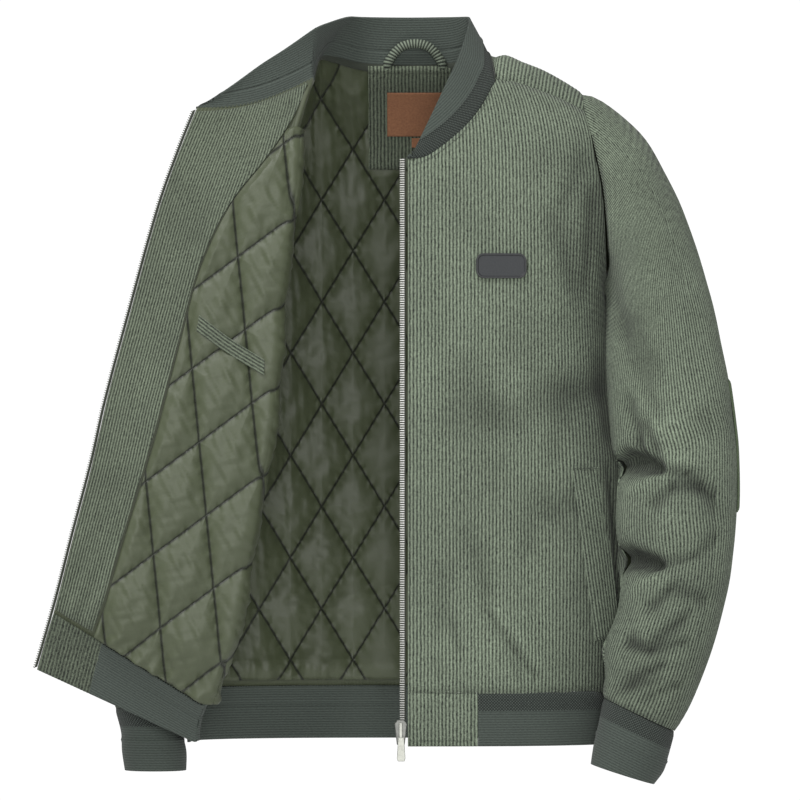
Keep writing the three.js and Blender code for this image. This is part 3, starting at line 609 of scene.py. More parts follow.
class Recipe:
    """A small helper that adds and links a material's nodes."""

    def __init__(self, name, rough, sheen=0.0, metal=0.0):
        self.material = bpy.data.materials.new(name)
        self.material.use_nodes = True
        self.tree = self.material.node_tree
        self.shader = self.tree.nodes["Principled BSDF"]
        for key, value in (("Roughness", rough), ("Metallic", metal),
                           ("Sheen Weight", sheen), ("Sheen Roughness", 0.5)):
            self.shader.inputs[key].default_value = value

    def node(self, kind, **values):
        made = self.tree.nodes.new("ShaderNode" + kind)
        for key, value in values.items():
            if key in made.inputs.keys():
                self.put(value, made.inputs[key])
            else:
                setattr(made, key, value)
        return made

    def put(self, value, socket):
        if isinstance(value, bpy.types.NodeSocket):
            self.tree.links.new(value, socket)
        else:
            socket.default_value = value

    def math(self, operation, a, b=0.0):
        made = self.node("Math", operation=operation)
        self.put(a, made.inputs[0])
        self.put(b, made.inputs[1])
        return made.outputs[0]

    def plus(self, a, b):
        return self.math("ADD", a, b)

    def minus(self, a, b):
        return self.math("SUBTRACT", a, b)

    def times(self, a, b):
        return self.math("MULTIPLY", a, b)

    def blend(self, share, a, b, way="MIX"):
        made = self.node("Mix", data_type="RGBA", blend_type=way)
        for k, value in ((0, share), (6, a), (7, b)):
            self.put(value, made.inputs[k])
        return made.outputs[2]

    def cloth_map(self):
        uv = self.node("UVMap", uv_map="cloth").outputs[0]
        split = self.node("SeparateXYZ", Vector=uv)
        return split.outputs[0], split.outputs[1]

    def place(self):
        return self.node("TexCoord").outputs["Object"]

    def noise(self, vector, scale, detail):
        return self.node("TexNoise", Vector=vector, Scale=scale, Detail=detail).outputs["Fac"]

    def stretch(self, x, y, sx, sy):
        return self.node("CombineXYZ", X=self.times(x, sx), Y=self.times(y, sy)).outputs[0]

    def wave(self, x, period):
        """Between 0 and 1, once each period."""
        turned = self.times(x, 2 * math.pi / period)
        return self.plus(self.times(self.math("COSINE", turned), 0.5), 0.5)

    def bump(self, height, distance, strength):
        made = self.node("Bump", Height=height, Distance=distance, Strength=strength)
        self.tree.links.new(made.outputs[0], self.shader.inputs["Normal"])

    def colour(self, value):
        self.put(value, self.shader.inputs["Base Color"])


def corduroy(name, groove_and_shade, ridge):
    """Pile ridges over uneven pile, with dark valleys that are partly the cloth's own ground and partly
    painted shade; soft lighter and darker patches of painted light and shade at random; and painted shade
    from a point attribute.
    """
    m = Recipe(name, 0.95, sheen=0.05)
    x, y = m.cloth_map()
    sway = m.times(m.minus(m.noise(m.place(), scale=110, detail=2), 0.5), 1.5 * MM)
    ridge_share = m.wave(m.plus(x, sway), WALE * MM)
    pile = m.noise(m.stretch(x, y, 700, 190), scale=1, detail=3)
    fleck = m.noise(m.place(), scale=620, detail=2)
    fibre = m.noise(m.place(), scale=1500, detail=2)
    # Painted light and shade: soft lighter and darker patches about 70 mm across, at random, for the light
    # on soft folds.
    painted_fold_patches = m.noise(m.place(), scale=14, detail=3)
    share = m.plus(m.times(ridge_share, 0.66), m.times(pile, 0.7))
    # The valleys take the groove colour: partly the cloth's darker ground, partly painted shade.
    base = m.blend(m.minus(m.plus(share, fleck), 0.71), linear(*groove_and_shade), linear(*ridge))
    # Painted shade from a point attribute, set on folds, on the panels' sides, on the sleeves and on the
    # welts.
    shadow = m.node("Attribute", attribute_name="painted_shade").outputs["Fac"]
    tone = m.times(m.plus(m.times(painted_fold_patches, 0.64), 0.67), m.minus(1.0, shadow))
    grey = m.node("CombineColor", Red=tone, Green=tone, Blue=tone).outputs[0]
    m.colour(m.blend(1.0, base, grey, way="MULTIPLY"))
    nap = m.plus(m.times(pile, 0.6), m.times(fibre, 0.4))
    m.bump(m.plus(m.times(ridge_share, 1.2), nap), distance=0.00045, strength=0.8)
    return m.material


def rib_knit(name, dark, light, band):
    """Fine knit lines along the band, with a checked knit beside the seam, as wide as band says."""
    line, check = 2.7 * MM, 3.1 * MM
    m = Recipe(name, 0.95, sheen=0.05)
    x, y = m.cloth_map()
    checks = m.times(m.wave(m.plus(x, y), check), m.wave(m.minus(x, y), check))
    in_band = m.math("LESS_THAN", y, band * MM)
    plain = m.times(m.plus(m.times(m.wave(y, line), 0.45), 0.46), m.minus(1.0, in_band))
    height = m.plus(plain, m.times(m.times(checks, 1.5), in_band))
    fluff = m.noise(m.stretch(x, y, 420, 1600), scale=1, detail=3)
    share = m.plus(m.times(height, 0.7), m.times(m.minus(fluff, 0.5), 0.9))
    m.colour(m.blend(share, linear(*dark), linear(*light)))
    m.bump(m.plus(height, m.times(fluff, 0.7)), distance=0.0006, strength=0.9)
    return m.material


def quilt_cloth(name, base, lit, stitch_and_shade):
    """Smooth lining cloth: dark lines at whole steps of its map, partly the quilting's thread and partly
    painted shade where the puffs meet, with puckers square to them.
    """
    m = Recipe(name, 0.52, sheen=0.05)
    x, y = m.cloth_map()
    a, b = (m.times(v, math.pi / MM) for v in (x, y))
    from_a, from_b = (m.math("ABSOLUTE", m.math("SINE", v)) for v in (a, b))
    nearest = m.math("MINIMUM", from_a, from_b)
    line = m.node("MapRange", **{"Value": nearest, "From Min": 0.035, "From Max": 0.1,
                                 "To Min": 1.0, "To Max": 0.0})
    sway = m.times(m.noise(m.place(), scale=55, detail=2), 7.0)
    height = m.times(m.math("POWER", nearest, 0.5), 3.2)
    for near, along in ((from_a, b), (from_b, a)):
        close = m.math("POWER", m.minus(1.0, near), 5.0)
        ripple = m.math("SINE", m.plus(m.times(along, 10.0), sway))
        height = m.plus(height, m.times(m.times(ripple, close), 0.55))
    flow = m.noise(m.stretch(x, m.plus(y, x), 2600, 900), scale=1, detail=3)
    weave = m.noise(m.place(), scale=1500, detail=1)
    tone = m.blend(weave, linear(*base), linear(*lit))
    # The lines' colour: partly the thread, partly painted shade in the quilting's troughs.
    m.colour(m.blend(m.times(line.outputs[0], 0.85), tone, linear(*stitch_and_shade)))
    height = m.plus(m.plus(height, m.times(flow, 0.6)), m.times(weave, 0.12))
    m.bump(height, distance=0.0016, strength=0.9)
    return m.material


def plain_cloth(name, dark, light, rough=0.9, grain=1200, sheen=0.1):
    m = Recipe(name, rough, sheen=sheen)
    fleck = m.noise(m.place(), grain, detail=3)
    m.colour(m.blend(fleck, linear(*dark), linear(*light)))
    m.bump(fleck, distance=0.0003, strength=0.6)
    return m.material


def loop_cloth(name, groove_and_shade, ridge):
    """Corduroy rolled into a cord, its pile ridges running round it; the valleys between them are partly
    the cloth's own darker ground and partly painted shade.
    """
    middle, radius, ridge_step = 5.5 * MM, 26 * MM, 3.2 * MM
    m = Recipe(name, 0.95)
    place = m.node("SeparateXYZ", Vector=m.place())
    turn = m.math("ARCTAN2", place.outputs[2], m.minus(place.outputs[0], middle))
    ridge_share = m.wave(m.times(turn, radius), ridge_step)
    m.colour(m.blend(ridge_share, linear(*groove_and_shade), linear(*ridge)))
    m.bump(ridge_share, distance=0.0008, strength=0.9)
    return m.material


def metal(name, colour, rough):
    m = Recipe(name, rough, metal=1.0)
    scuff = m.noise(m.place(), scale=260, detail=3)
    m.colour(linear(*colour))
    m.put(m.plus(m.times(scuff, 0.2), rough), m.shader.inputs["Roughness"])
    m.bump(scuff, distance=0.0001, strength=0.25)
    return m.material


CORD = corduroy("corduroy", (19, 24, 19), (128, 140, 120))
# A darker copy of the shell corduroy: painted shade for the cloth seen inside the open front and at the
# neck.
CORD_PAINTED_SHADE = corduroy("corduroy_painted_shade", (24, 29, 22), (112, 122, 103))
RIB = rib_knit("rib_knit_inside", (24, 29, 26), (83, 92, 85), 0)
RIB_BANDED = rib_knit("rib_knit", (22, 27, 24), (80, 89, 82), 19)
QUILT = quilt_cloth("quilted_lining", (59, 66, 45), (69, 76, 53), (20, 24, 15))
PLAIN_LINING = plain_cloth("plain_lining", (56, 62, 43), (70, 77, 55), 0.6)
PATCH = plain_cloth("elbow_patch", (66, 78, 56), (88, 102, 76), 0.95, 700)
BINDING = plain_cloth("dark_binding", (32, 36, 28), (48, 54, 44))
TAPE = plain_cloth("zip_tape", (34, 38, 30), (50, 54, 44))
# Dark thread: partly the stitches' own colour, partly painted shadow along the stitched lines.
THREAD_AND_SHADOW = plain_cloth("thread_and_painted_shadow", (36, 42, 35), (52, 60, 50))
LABEL = plain_cloth("woven_label", (104, 66, 44), (150, 104, 72), 0.85, 500)
RUBBER = plain_cloth("badge_rubber", (22, 24, 26), (34, 36, 38), 0.55, 400, 0.0)
SLATE = plain_cloth("badge_face", (29, 32, 34), (36, 39, 42), 0.6, 500, 0.0)
LOOP = loop_cloth("hanger_loop", (30, 36, 30), (120, 130, 114))
# A darker copy of the zip metal for the right chain: painted shade.
TEETH_PAINTED_SHADE = metal("teeth_painted_shade", (96, 98, 92), 0.5)
# A darker copy of the silver for the slider body: painted shade.
SHADED = metal("slider_silver_painted_shade", (112, 113, 109), 0.4)
SILVER = metal("slider_silver", (146, 147, 140), 0.34)
TEETH = metal("teeth_silver", (168, 168, 164), 0.36)


# Shell panels
FL, BK, FR = front_left(), back_panel(), front_right()
CENTRE_BACK = len(BK[0]) // 2
SIDE_START, SIDE_WIDTH, SIDE_SWELL = 140.0, 66.0, 6.5
# Creases: x and z of one end, x and z of the other, width and depth
FRONT_CREASES = [
    (201, -420, 221, -598, 2.6, 3.2), (166, -424, 190, -603, 1.6, 1.0),
    (76, -565, 136, -646, 3.4, 3.6), (86, -563, 146, -640, 6, -2.0), (45, -578, 52, -617, 4, 2.6),
    (104, -600, 118, -652, 6, 1.6), (28, -620, 34, -655, 5, 1.6), (60, -480, 84, -560, 12, 2.4),
    (150, -150, 178, -250, 12, 2.6), (165, -330, 150, -420, 14, 2.2), (60, -300, 96, -390, 22, 1.8),
    (188, -90, 158, -150, 8, 2.6), (192, -130, 184, -240, 6, 2.6), (40, -520, 30, -600, 10, 1.6),
    (135, -440, 120, -520, 14, 1.8), (196, -300, 204, -400, 7, 2.6),
    (40, -354, 128, -372, 20, 2.2), (122, -352, 204, -338, 20, 3.0), (140, -474, 192, -446, 11, 2.2),
]
BACK_CREASES = [
    (-60, -560, -20, -640, 9, 2.2), (70, -580, 110, -648, 8, 2.2), (-150, -560, -120, -640, 9, 2),
    (-170, -160, -120, -300, 16, 2.6), (170, -160, 120, -300, 16, 2.6), (-90, -350, 60, -420, 20, 1.6),
    (20, -480, 120, -520, 16, 1.6), (-30, -90, 40, -100, 14, 1.4),
]


def panel(name, node, grid, rows, columns, start, sides, folded, flip):
    """A shell panel, its wales counted from the column at a start and its folds pressed in."""
    plain = surface(grid, evenly(grid[:, len(grid[0]) // 2], rows), evenly(grid[-4], columns))
    n = normals(plain) * flip
    x, z = plain[..., 0], plain[..., 2]
    across = lengths(plain, 1, flat=True)
    uv = np.stack([across - across[:, start:start + 1], -lengths(plain, 0)], axis=2)
    folds = sum(crease(plain, *line) for line in folded)
    height = wales(uv[..., 0]) + 0.8 * soft_noise(x, z, 38, 1.3) + folds
    points = lifted(tuck(plain, n, sides), n, height)
    side = ramp(x, SIDE_START, SIDE_WIDTH) ** 1.4
    points[..., 0] += SIDE_SWELL * side * bell(z + 440, 110)
    # Painted shade: darker in the folds' troughs and a little lighter on their ridges, and darker towards
    # the side below the shoulder, where the panel turns away from the light.
    cloth(name, points, n, CORD, node, 1.6, uv, PLAIN_LINING, plain,
          fold_shade(folds) + 0.5 * side * ramp(-z, 60, 80))


def from_zip(plain):
    """Distances square to the zip edge, and down from the top."""
    row_way = plain[:, -1] - plain[:, -20]
    edge_way = np.gradient(plain[:, -1], axis=0)
    for way in (row_way, edge_way):
        way /= np.linalg.norm(way, axis=1, keepdims=True)
    sine = np.sqrt(1 - np.sum(row_way * edge_way, axis=1) ** 2)
    across = lengths(plain, 1)
    return np.stack([(across[:, -1:] - across) * sine[:, None], -lengths(plain, 0)], axis=2)


def open_front():
    """The folded front, from its side seam round the fold to its zip."""
    body = np.linspace(0, OPEN_BODY, 70)
    roll = np.linspace(OPEN_BODY, ROLL_END, 34)[1:]
    flap = np.linspace(ROLL_END, OPEN_END, 170)[1:]
    plain = surface(FR, evenly(FR[:, -1], 64), np.concatenate([body, roll, flap]))
    n = -normals(plain)
    uv = from_zip(plain)
    points = lifted(tuck(plain, n, ("left", "top", "bottom")), n, wales(uv[..., 0]))
    cloth("front_right_cloth", points, n, CORD, "front_right", 1.4, uv, PLAIN_LINING, plain)


panel("front_left_cloth", "front_left", FL, 66, 330, 0, ("right", "top", "bottom"), FRONT_CREASES, -1)
panel("back_cloth", "back", BK, 50, 560, 280, ("left", "right", "top", "bottom"), BACK_CREASES, 1)
open_front()


# Sleeves
FRONT_LINE = 5
HEAD_REST = -240.0
HEAD_LENGTH = 260.0
HEAD_SWING = 0.6
SEAM_OVERLAP = 6.0
BODY_OVERLAP = 0.4
LEFT_CREASES = [
    (220, -416, 261, -421, 9, 16), (255, -420, 292, -427, 5, 6), (288, -426, 322, -456, 8, 4),
    (226, -448, 262, -425, 4, -3), (262, -414, 300, -416, 7, -2.5), (248, -462, 274, -440, 6, 5),
    (270, -438, 308, -442, 8, 6), (304, -442, 326, -476, 9, 3.5),
    (220, -516, 261, -522, 9, 16), (256, -522, 300, -512, 5, 5), (296, -512, 326, -490, 8, 3),
    (228, -552, 262, -527, 4, -3), (246, -570, 272, -545, 6, 5), (270, -544, 312, -560, 8, 4.5),
    (250, -604, 292, -572, 7, 5), (222, -600, 252, -612, 7, 7), (250, -612, 290, -600, 6, 4),
    (222, -644, 266, -624, 6, 5), (228, -300, 262, -372, 9, 3), (222, -262, 262, -330, 12, 3),
    (240, -372, 258, -408, 6, 5), (225, -346, 240, -404, 6, 5), (232, -390, 246, -414, 4, 3),
    (215, -652, 262, -640, 5, 3.5), (240, -660, 285, -644, 5, 3), (300, -360, 330, -400, 10, 2),
    (258, -488, 304, -496, 16, -4), (250, -380, 290, -384, 14, -2), (206, -200, 226, -300, 7, 3),
]
RIGHT_CREASES = [(-240, -430, -310, -450, 10, 4), (-240, -500, -310, -480, 9, 3)]
FOLD_TIPS = table("z reach width", [(-421, 15, 19), (-522, 14, 19), (-612, 8, 16)])
ELBOW_LEFT = {"columns": (2.4, 7.6), "rows": (10.6, 14.5)}
ELBOW_RIGHT = {"columns": (3, 8), "rows": (10, 13)}
ELBOW_GRID = 60


def left_ease(points, turn):
    """Closes the left sleeve up to the body, and fills the valleys of its large folds from behind."""
    z = points[..., 2]
    under = bell(ARM_STEPS / 2 - np.abs(turn), 1.8) * ramp(-z, 196, 20) * ramp(z, -640, 30)
    behind = bell(turn + 8.5, 1.1)
    outer = bell(turn - 0.5, 3.0) * bell(z + 280, 120)
    tips = sum(reach * bell(z - at, width) for at, reach, width in zip(*FOLD_TIPS.values()))
    move = np.zeros(points.shape)
    move[..., 0] = 4 * outer - 9 * under - behind * tips
    return move


def off_the_body(points, out):
    """Keeps the sleeve's inner side out of the body, which it rests against."""
    for row in points:
        for p in row:
            deep = depth_at(p[2], p[1] > 0)
            if p[2] < HEAD_REST and abs(p[1]) < deep:
                body = half_width(out, p[2]) * section(p[1] / deep)
                p[0] = out * max(out * p[0], body - BODY_OVERLAP)
    return points


def sleeve_half(side, half, plain, turn, lead, centre, folded):
    left = side == "left"
    out = 1 if left else -1
    way = 1 if half == "front" else -1
    n = facing_away(plain, centre, 40, plain.shape[1] // 2)
    share = 1.0
    if left:
        plain = plain + left_ease(plain, turn)
    if half == "back":
        plain = plain - bell(lengths(plain, 0), 9)[..., None] * (vec(SEAM_OVERLAP * out, 0, 0) + n)
        share = 0.3 + 0.7 * bell(ARM_STEPS / 2 - np.abs(turn), 0.8)
    down = lengths(plain, 0)
    near = np.clip(down, 0, HEAD_LENGTH)
    swing = HEAD_SWING * (near - near ** 2 / (2 * HEAD_LENGTH))
    uv = np.stack([way * lengths(plain, 1) - lead - swing, -down], axis=2)
    x, z = plain[..., 0], plain[..., 2]
    folds = share * sum(crease(plain, *line) for line in folded)
    height = wales(uv[..., 0]) + 0.9 * soft_noise(x * 1.2, z, 30, 2.0) + folds
    points = lifted(tuck(plain, n, ("left", "top", "bottom"), 0.8, 2.2), n, height)
    # Painted shade: the left sleeve darker towards its lower end, away from the light above, and the right
    # sleeve darker all over; fold shade is added to both.
    low = 0.25 * ramp(-z, 420, 250) if left else 0.3
    name = f"sleeve_{side}_{half}"
    cloth(name + "_cloth", off_the_body(points, out), n, CORD, name, 1.6, uv,
          PLAIN_LINING, plain, fold_shade(folds) + low)


def elbow_patch(side, grid, centre, columns, rows):
    places = np.linspace(*columns, ELBOW_GRID)
    flat = surface(grid, np.linspace(*rows, ELBOW_GRID), places)
    if side == "left":
        flat = flat + left_ease(flat, OVERARM_STEP - places)
    n = facing_away(flat, centre, ELBOW_GRID // 2, ELBOW_GRID // 2)
    a, b = np.meshgrid(np.linspace(-1, 1, ELBOW_GRID), np.linspace(-1, 1, ELBOW_GRID))
    from_edge = 1 - np.maximum(np.abs(a), np.abs(b))
    raised = lifted(flat, n, 1.2 + 1.8 * ramp(from_edge, 0, 0.06) ** 0.5)
    cloth(f"elbow_{side}_cloth", raised, n, PATCH, f"elbow_patch_{side}", 0.9,
          cloth_map(flat))


def sleeve(side, at, folded, rows, elbow):
    """Front and back halves of a sleeve, from its overarm seam round to its underarm seam."""
    tube = sleeve_tube(at, side == "left")
    for half, way, columns in (("front", 1, 170), ("back", -1, 200)):
        grid = tube[:, [s % ARM_STEPS for s in range(OVERARM_STEP, way * (ARM_STEPS // 2 + 1), way)]]
        lines = evenly(grid[:, grid.shape[1] // 2], rows)
        places = evenly(grid[5], columns)
        overarm = surface(tube, lines, evenly(tube[5], 40, OVERARM_STEP, FRONT_LINE))
        centre = surface(tube, lines, np.arange(ARM_STEPS)).mean(axis=1)[40]
        sleeve_half(side, half, surface(grid, lines, places), OVERARM_STEP + way * places,
                    lengths(overarm, 1)[:, -1:], centre, folded)
    elbow_patch(side, grid, centre, **elbow)


sleeve("left", SLEEVE_LEFT, LEFT_CREASES, 92, ELBOW_LEFT)
sleeve("right", SLEEVE_RIGHT, RIGHT_CREASES, 64, ELBOW_RIGHT)


# Rib: cuffs, hem and collar
HEM = hem_band()
TAB_START = len(HEM[0]) - 3
TAB_END = 70.6
BAND_RISE = 0.9
COLLAR_BAND = 19.0


def cuff(side, at):
    rings = np.array([ring_points(at, k) for k in range(4)])
    rings = np.concatenate([rings[:, -2:], rings, rings[:, :3]], axis=1)
    plain = surface(rings, np.linspace(0, 3, 34), np.linspace(2, 2 + ARM_STEPS, 161))
    plain[:, -1] = plain[:, 0]
    n = normals(plain)
    n *= np.sign(np.sum(n * (plain - plain.mean(axis=1, keepdims=True)), axis=2, keepdims=True))
    t = np.linspace(0, 1, 34)[:, None]
    swell = 1.2 * np.sin(math.pi * t) + BAND_RISE * bell(t - 0.46, 0.03) - 1.2 * bell(t, 0.04)
    points = lifted(plain, n, swell)
    points[:, -1] = points[:, 0]
    cloth(f"cuff_{side}_rib", points, n, RIB_BANDED, f"cuff_{side}", 2.6, cloth_map(plain),
          ring=True)


def hem_piece(name, node, plain, material, swell):
    """A piece of the hem: rib with a raised line under its knit band, or a corduroy tab."""
    rib = material is RIB_BANDED
    n = -normals(plain)
    uv = cloth_map(plain)
    t = np.linspace(0, 1, len(plain))[:, None]
    surface_rise = BAND_RISE * bell(t - 0.34, 0.03) if rib else wales(uv[..., 0])
    height = swell * np.sin(math.pi * t) - 1.8 * bell(t, 0.05) + surface_rise
    cloth(name, lifted(plain, n, height), n, material, node, 2.6, uv,
          RIB if rib else None)


def hem():
    rows = np.linspace(0, 2, 24)
    rib = surface(HEM, rows, np.linspace(0, TAB_START + 0.01, 520))
    right = surface(HEM, rows, np.linspace(TAB_START, len(HEM[0]) - 1, 80))
    left = body_grid(steps(FRONT_EDGE, TAB_END, 96), steps(HEM_TOP + 1.2, HEM_BOTTOM, 22), False)
    hem_piece("hem_rib_knit", "hem_rib", rib, RIB_BANDED, 1.4)
    hem_piece("hem_tab_right_cloth", "hem_tab_right", right, CORD_PAINTED_SHADE, 1.4)
    hem_piece("hem_tab_left_cloth", "hem_tab_left", left, CORD, 1.0)


def rounded(points, reach):
    """Softens sharp turns across a grid of points, more so towards its last row."""
    weights = np.hanning(2 * reach + 3)[1:-1]
    before = 2 * points[:, :1] - points[:, reach:0:-1]
    after = 2 * points[:, -1:] - points[:, -2:-reach - 2:-1]
    padded = np.concatenate([before, points, after], axis=1)
    count = points.shape[1]
    soft = sum(w * padded[:, k:k + count] for k, w in enumerate(weights)) / weights.sum()
    share = np.linspace(0, 1, len(points))[:, None, None] ** 0.7
    return points + (soft - points) * share


def collar():
    grid = collar_band(FL, BK, FR)
    plain = rounded(surface(grid, np.linspace(0, 3, 36), evenly(grid[1], 360)), 15)
    n = normals(plain)
    n *= -np.sign(n[20, 5][1])
    uv = cloth_map(plain)
    height = uv[..., 1]
    reach = height / height[-1:]
    swell = 1.6 * np.sin(math.pi * reach) - 0.8 * bell(reach, 0.05) + 1.1 * bell(height - COLLAR_BAND, 1.1)
    cloth("collar_rib", lifted(plain, n, swell), n, RIB_BANDED, "collar", 2.2, uv, RIB)


cuff("left", CUFF_LEFT)
cuff("right", CUFF_RIGHT)
hem()
collar()


# Quilted lining and corduroy facing
QUILT_TURNED = {"origin": (-226.7, -319.3), "a": (55.1, 40.6), "b": (7.3, -75.9)}
FACING_FINER = 1.3


def pillows(uv, wrinkle, uneven):
    """Rise of the quilting's puffed diamonds, whose stitch lines lie at whole steps of its map."""
    height = np.abs(np.sin(math.pi * uv[..., 0]) * np.sin(math.pi * uv[..., 1])) ** 0.55
    return PUFF * height * (1 + uneven * wrinkle) + 0.7 * wrinkle * height ** 0.5


def back_lining():
    lines = evenly(BK[:, CENTRE_BACK], 172, 0.12, len(BK) - 1.15)
    shell = surface(BK, lines, np.linspace(0.25, len(BK[0]) - 1.25, 144))
    n = normals(shell)
    x, z = shell[..., 0], shell[..., 2]
    a, b = (x - QUILT_CENTRE[0]) / DIAMOND_HALF[0] / 2, (z - QUILT_CENTRE[1]) / DIAMOND_HALF[1] / 2
    uv = np.stack([a + b, a - b], axis=2)
    under_patch = (np.abs(x - 2) < 46) & (z > -106)
    wrinkle = soft_noise(x * 2.3, z * 0.7, 9, 0.4) + 0.6 * soft_noise(x + z, z * 1.7, 7, 1.9)
    uneven = soft_noise(x - QUILT_CENTRE[0], z - QUILT_CENTRE[1], 20)
    gather = 1.6 * bell(z + 645, 14) * np.sin(x / 3.1 + 1.4 * uneven) + 5 * bell(z + 638, 12)
    across = lengths(shell, 1)
    to_side = ramp(np.minimum(across, across[:, -1:] - across), 0, 16)
    rise = (pillows(uv, wrinkle, 0.22) * ~under_patch + gather) * to_side
    near_top = ramp(lengths(shell, 0), 0, 30)
    points = lifted(shell, n, -SHELL - (LOOSE_LINING + LINING + rise) * near_top)
    cloth("back_lining_quilt", points, -n, QUILT, "lining_back", 0.8, uv, plain=shell)


def facing_share(line):
    """The facing's inner edge on the open front, at one of its rows."""
    z = curve_through(FR[:, 0], [line])[0][2]
    v = clamp((z - FR[0, 0, 2]) / (HEM_TOP - FR[0, 0, 2]))
    return ROLL_END + OPEN_FLAP * look(FACING_EDGE, "v", "share", v)


def flap_lining():
    """Lining of the open front: round the inside of the body, through the fold and over the flap."""
    lines = evenly(FR[:, ROLL_END], 180, 2.0, len(FR) - 1.1)
    inner = np.concatenate([np.linspace(0.3, OPEN_BODY, 30), np.linspace(OPEN_BODY, ROLL_END, 24)[1:]])
    columns = []
    for line in lines:
        stop = max(facing_share(line) - 0.04, ROLL_END + 0.05)
        columns.append(np.concatenate([inner, np.linspace(ROLL_END, stop, 66)[1:]]))
    shell = surface(FR, lines, np.array(columns))
    n = -normals(shell)
    z = shell[..., 2]
    across, low = lengths(shell, 1), lengths(shell, 0)
    fold = len(inner) - 1
    x = np.where(np.arange(shell.shape[1]) >= fold, shell[..., 0],
                 shell[:, fold:fold + 1, 0] + across[:, fold:fold + 1] - across)
    origin, a, b = QUILT_TURNED.values()
    qx, qz = x - origin[0], z - origin[1]
    uv = np.stack([qx * b[1] - qz * b[0], a[0] * qz - a[1] * qx], axis=2) / (a[0] * b[1] - a[1] * b[0])
    wrinkle = soft_noise(x * 2.1 + z, z * 0.8, 8, 3.1) + 0.6 * soft_noise(x, z * 2.0, 7, 0.2)
    gather = bell(low[-1:] - low, 14) * (1.6 * np.sin(across / 2.9) + 2.5)
    rise = pillows(uv, wrinkle, 0.25) * ramp(across[:, -1:] - across, 0, 8) + gather
    points = lifted(shell, n, -SHELL - LOOSE_LINING - LINING - rise)
    cloth("flap_lining_quilt", points, -n, QUILT, "lining_front_right", 0.8, uv,
          plain=shell)


def facing():
    lines = evenly(FR[:, -1], 66, 0.25, len(FR) - 1.2)
    columns = np.array([np.linspace(facing_share(line) + 0.06, OPEN_END - 0.02, 130) for line in lines])
    shell = surface(FR, lines, columns)
    n = -normals(shell)
    uv = from_zip(shell) * FACING_FINER
    low = lengths(shell, 0)
    ripple = bell(low[-1:] - low, 90) * np.sin(uv[..., 0] / 6 + low / 19) * 1.3
    folds = crease(shell, -108, -29, -129, -53, 5, 3.5) + crease(shell, -270, -150, -248, -240, 9, 1.6)
    points = lifted(shell, n, -SHELL - LOOSE - SHELL - wales(uv[..., 0]) - ripple - folds)
    cloth("facing_right_cloth", points, -n, CORD_PAINTED_SHADE, "facing_right", 1.4, uv, plain=shell)


back_lining()
flap_lining()
facing()


# Inside the neck: patch, tape, label, size tab and hanger loop
ON_LINING = SHELL + LOOSE_LINING + LINING + 0.8
PATCH_X = steps(-44, 48, 8)
PATCH_HEAD = table("y z", [(25.5, 2), (27.5, -5), (33.5, -13), (41, -21)])
PATCH_BODY = (-26, -44, -70, -104)
TAPE_ROWS = table("forward up", [(2.2, 2.6), (3.6, 1.0), (4.4, -2.0), (3.4, -6.0)])
LOOP_PATH = [
    (-25, 28.8, -3), (-22, 24, 7), (-10, 19, 21), (6, 17, 25), (21, 19, 21), (33, 24, 7), (36, 28.8, -3),
]
LOOP_RADIUS = 4.9
LOOP_RIDGE = 0.3


def neck_patch():
    """Corduroy patch that hangs from the neck seam, with a rolled upper edge."""
    rows = [[vec(x, y, z) for x in PATCH_X] for y, z in zip(*PATCH_HEAD.values())]
    for row in body_grid(PATCH_X, PATCH_BODY, True):
        rows.append([p - body_normal(p) * (ON_LINING + 1.6) for p in row])
    plain = surface(np.array(rows), np.linspace(0, 7, 56), np.linspace(0, 8, 110))
    n = -normals(plain)
    uv = cloth_map(plain)
    down = uv[..., 1]
    roll = 1.4 * bell(down - 4, 3.5) - 1.0 * bell(down - 10, 1.2)
    points = lifted(plain, n, wales(uv[..., 0]) * (down > 10) + roll)
    cloth("neck_patch_cloth", points, n, CORD_PAINTED_SHADE, "neck_patch", 1.3, uv, plain=plain)


def neck_tape():
    """Dark tape along the inside of the back neck seam."""
    seam = [p for p in BK[0] if -NECK_RIGHT - 0.5 < p[0] < NECK_LEFT + 0.5]
    rows = [[p + vec(0, -forward, up) for p in seam] for forward, up in zip(*TAPE_ROWS.values())]
    plain = surface(np.array(rows), np.linspace(0, 3, 10), evenly(np.array(seam), 120))
    cloth("neck_tape", plain, -normals(plain), BINDING, None, 0.8, cloth_map(plain), narrow=True)


def inside_back(name, node, xs, zs, rise, thick):
    """A bare woven label on the inside of the back."""
    shell = body_grid(xs, zs, True)
    n = np.array([[body_normal(p) for p in row] for row in shell])
    cloth(name, shell - n * rise, -n, LABEL, node, thick, cloth_map(shell))


def hanger_loop():
    """A round cord along a smooth path, thinner at its two sewn ends."""
    path = curve_through(np.array(LOOP_PATH, dtype=float), np.linspace(0, 6, 90))
    last = len(path) - 1
    bm = bmesh.new()
    bmesh.ops.create_cone(bm, cap_ends=True, segments=14, radius1=1, radius2=1, depth=1)
    walls = [e for e in bm.edges if abs(e.verts[0].co.z - e.verts[1].co.z) > 0.5]
    bmesh.ops.subdivide_edges(bm, edges=walls, cuts=last - 1)
    ways = np.gradient(path, axis=0)
    ways /= np.linalg.norm(ways, axis=1, keepdims=True)
    for vert in bm.verts:
        k = int(round((vert.co.z + 0.5) * last))
        side = unit(np.cross(ways[k], vec(0, 1, 0)))
        up = np.cross(side, ways[k])
        radius = (LOOP_RADIUS + LOOP_RIDGE * math.cos(k * math.pi)) * min(1, 0.5 + min(k, last - k) / 24)
        round_way = (side * vert.co.x + up * vert.co.y) / (math.hypot(vert.co.x, vert.co.y) or 1)
        vert.co = (path[k] + round_way * radius) * MM
    mesh = mesh_of(bm, "hanger_loop_tube")
    mesh.shade_smooth()
    finish("hanger_loop_tube", mesh, LOOP, "hanger_loop")


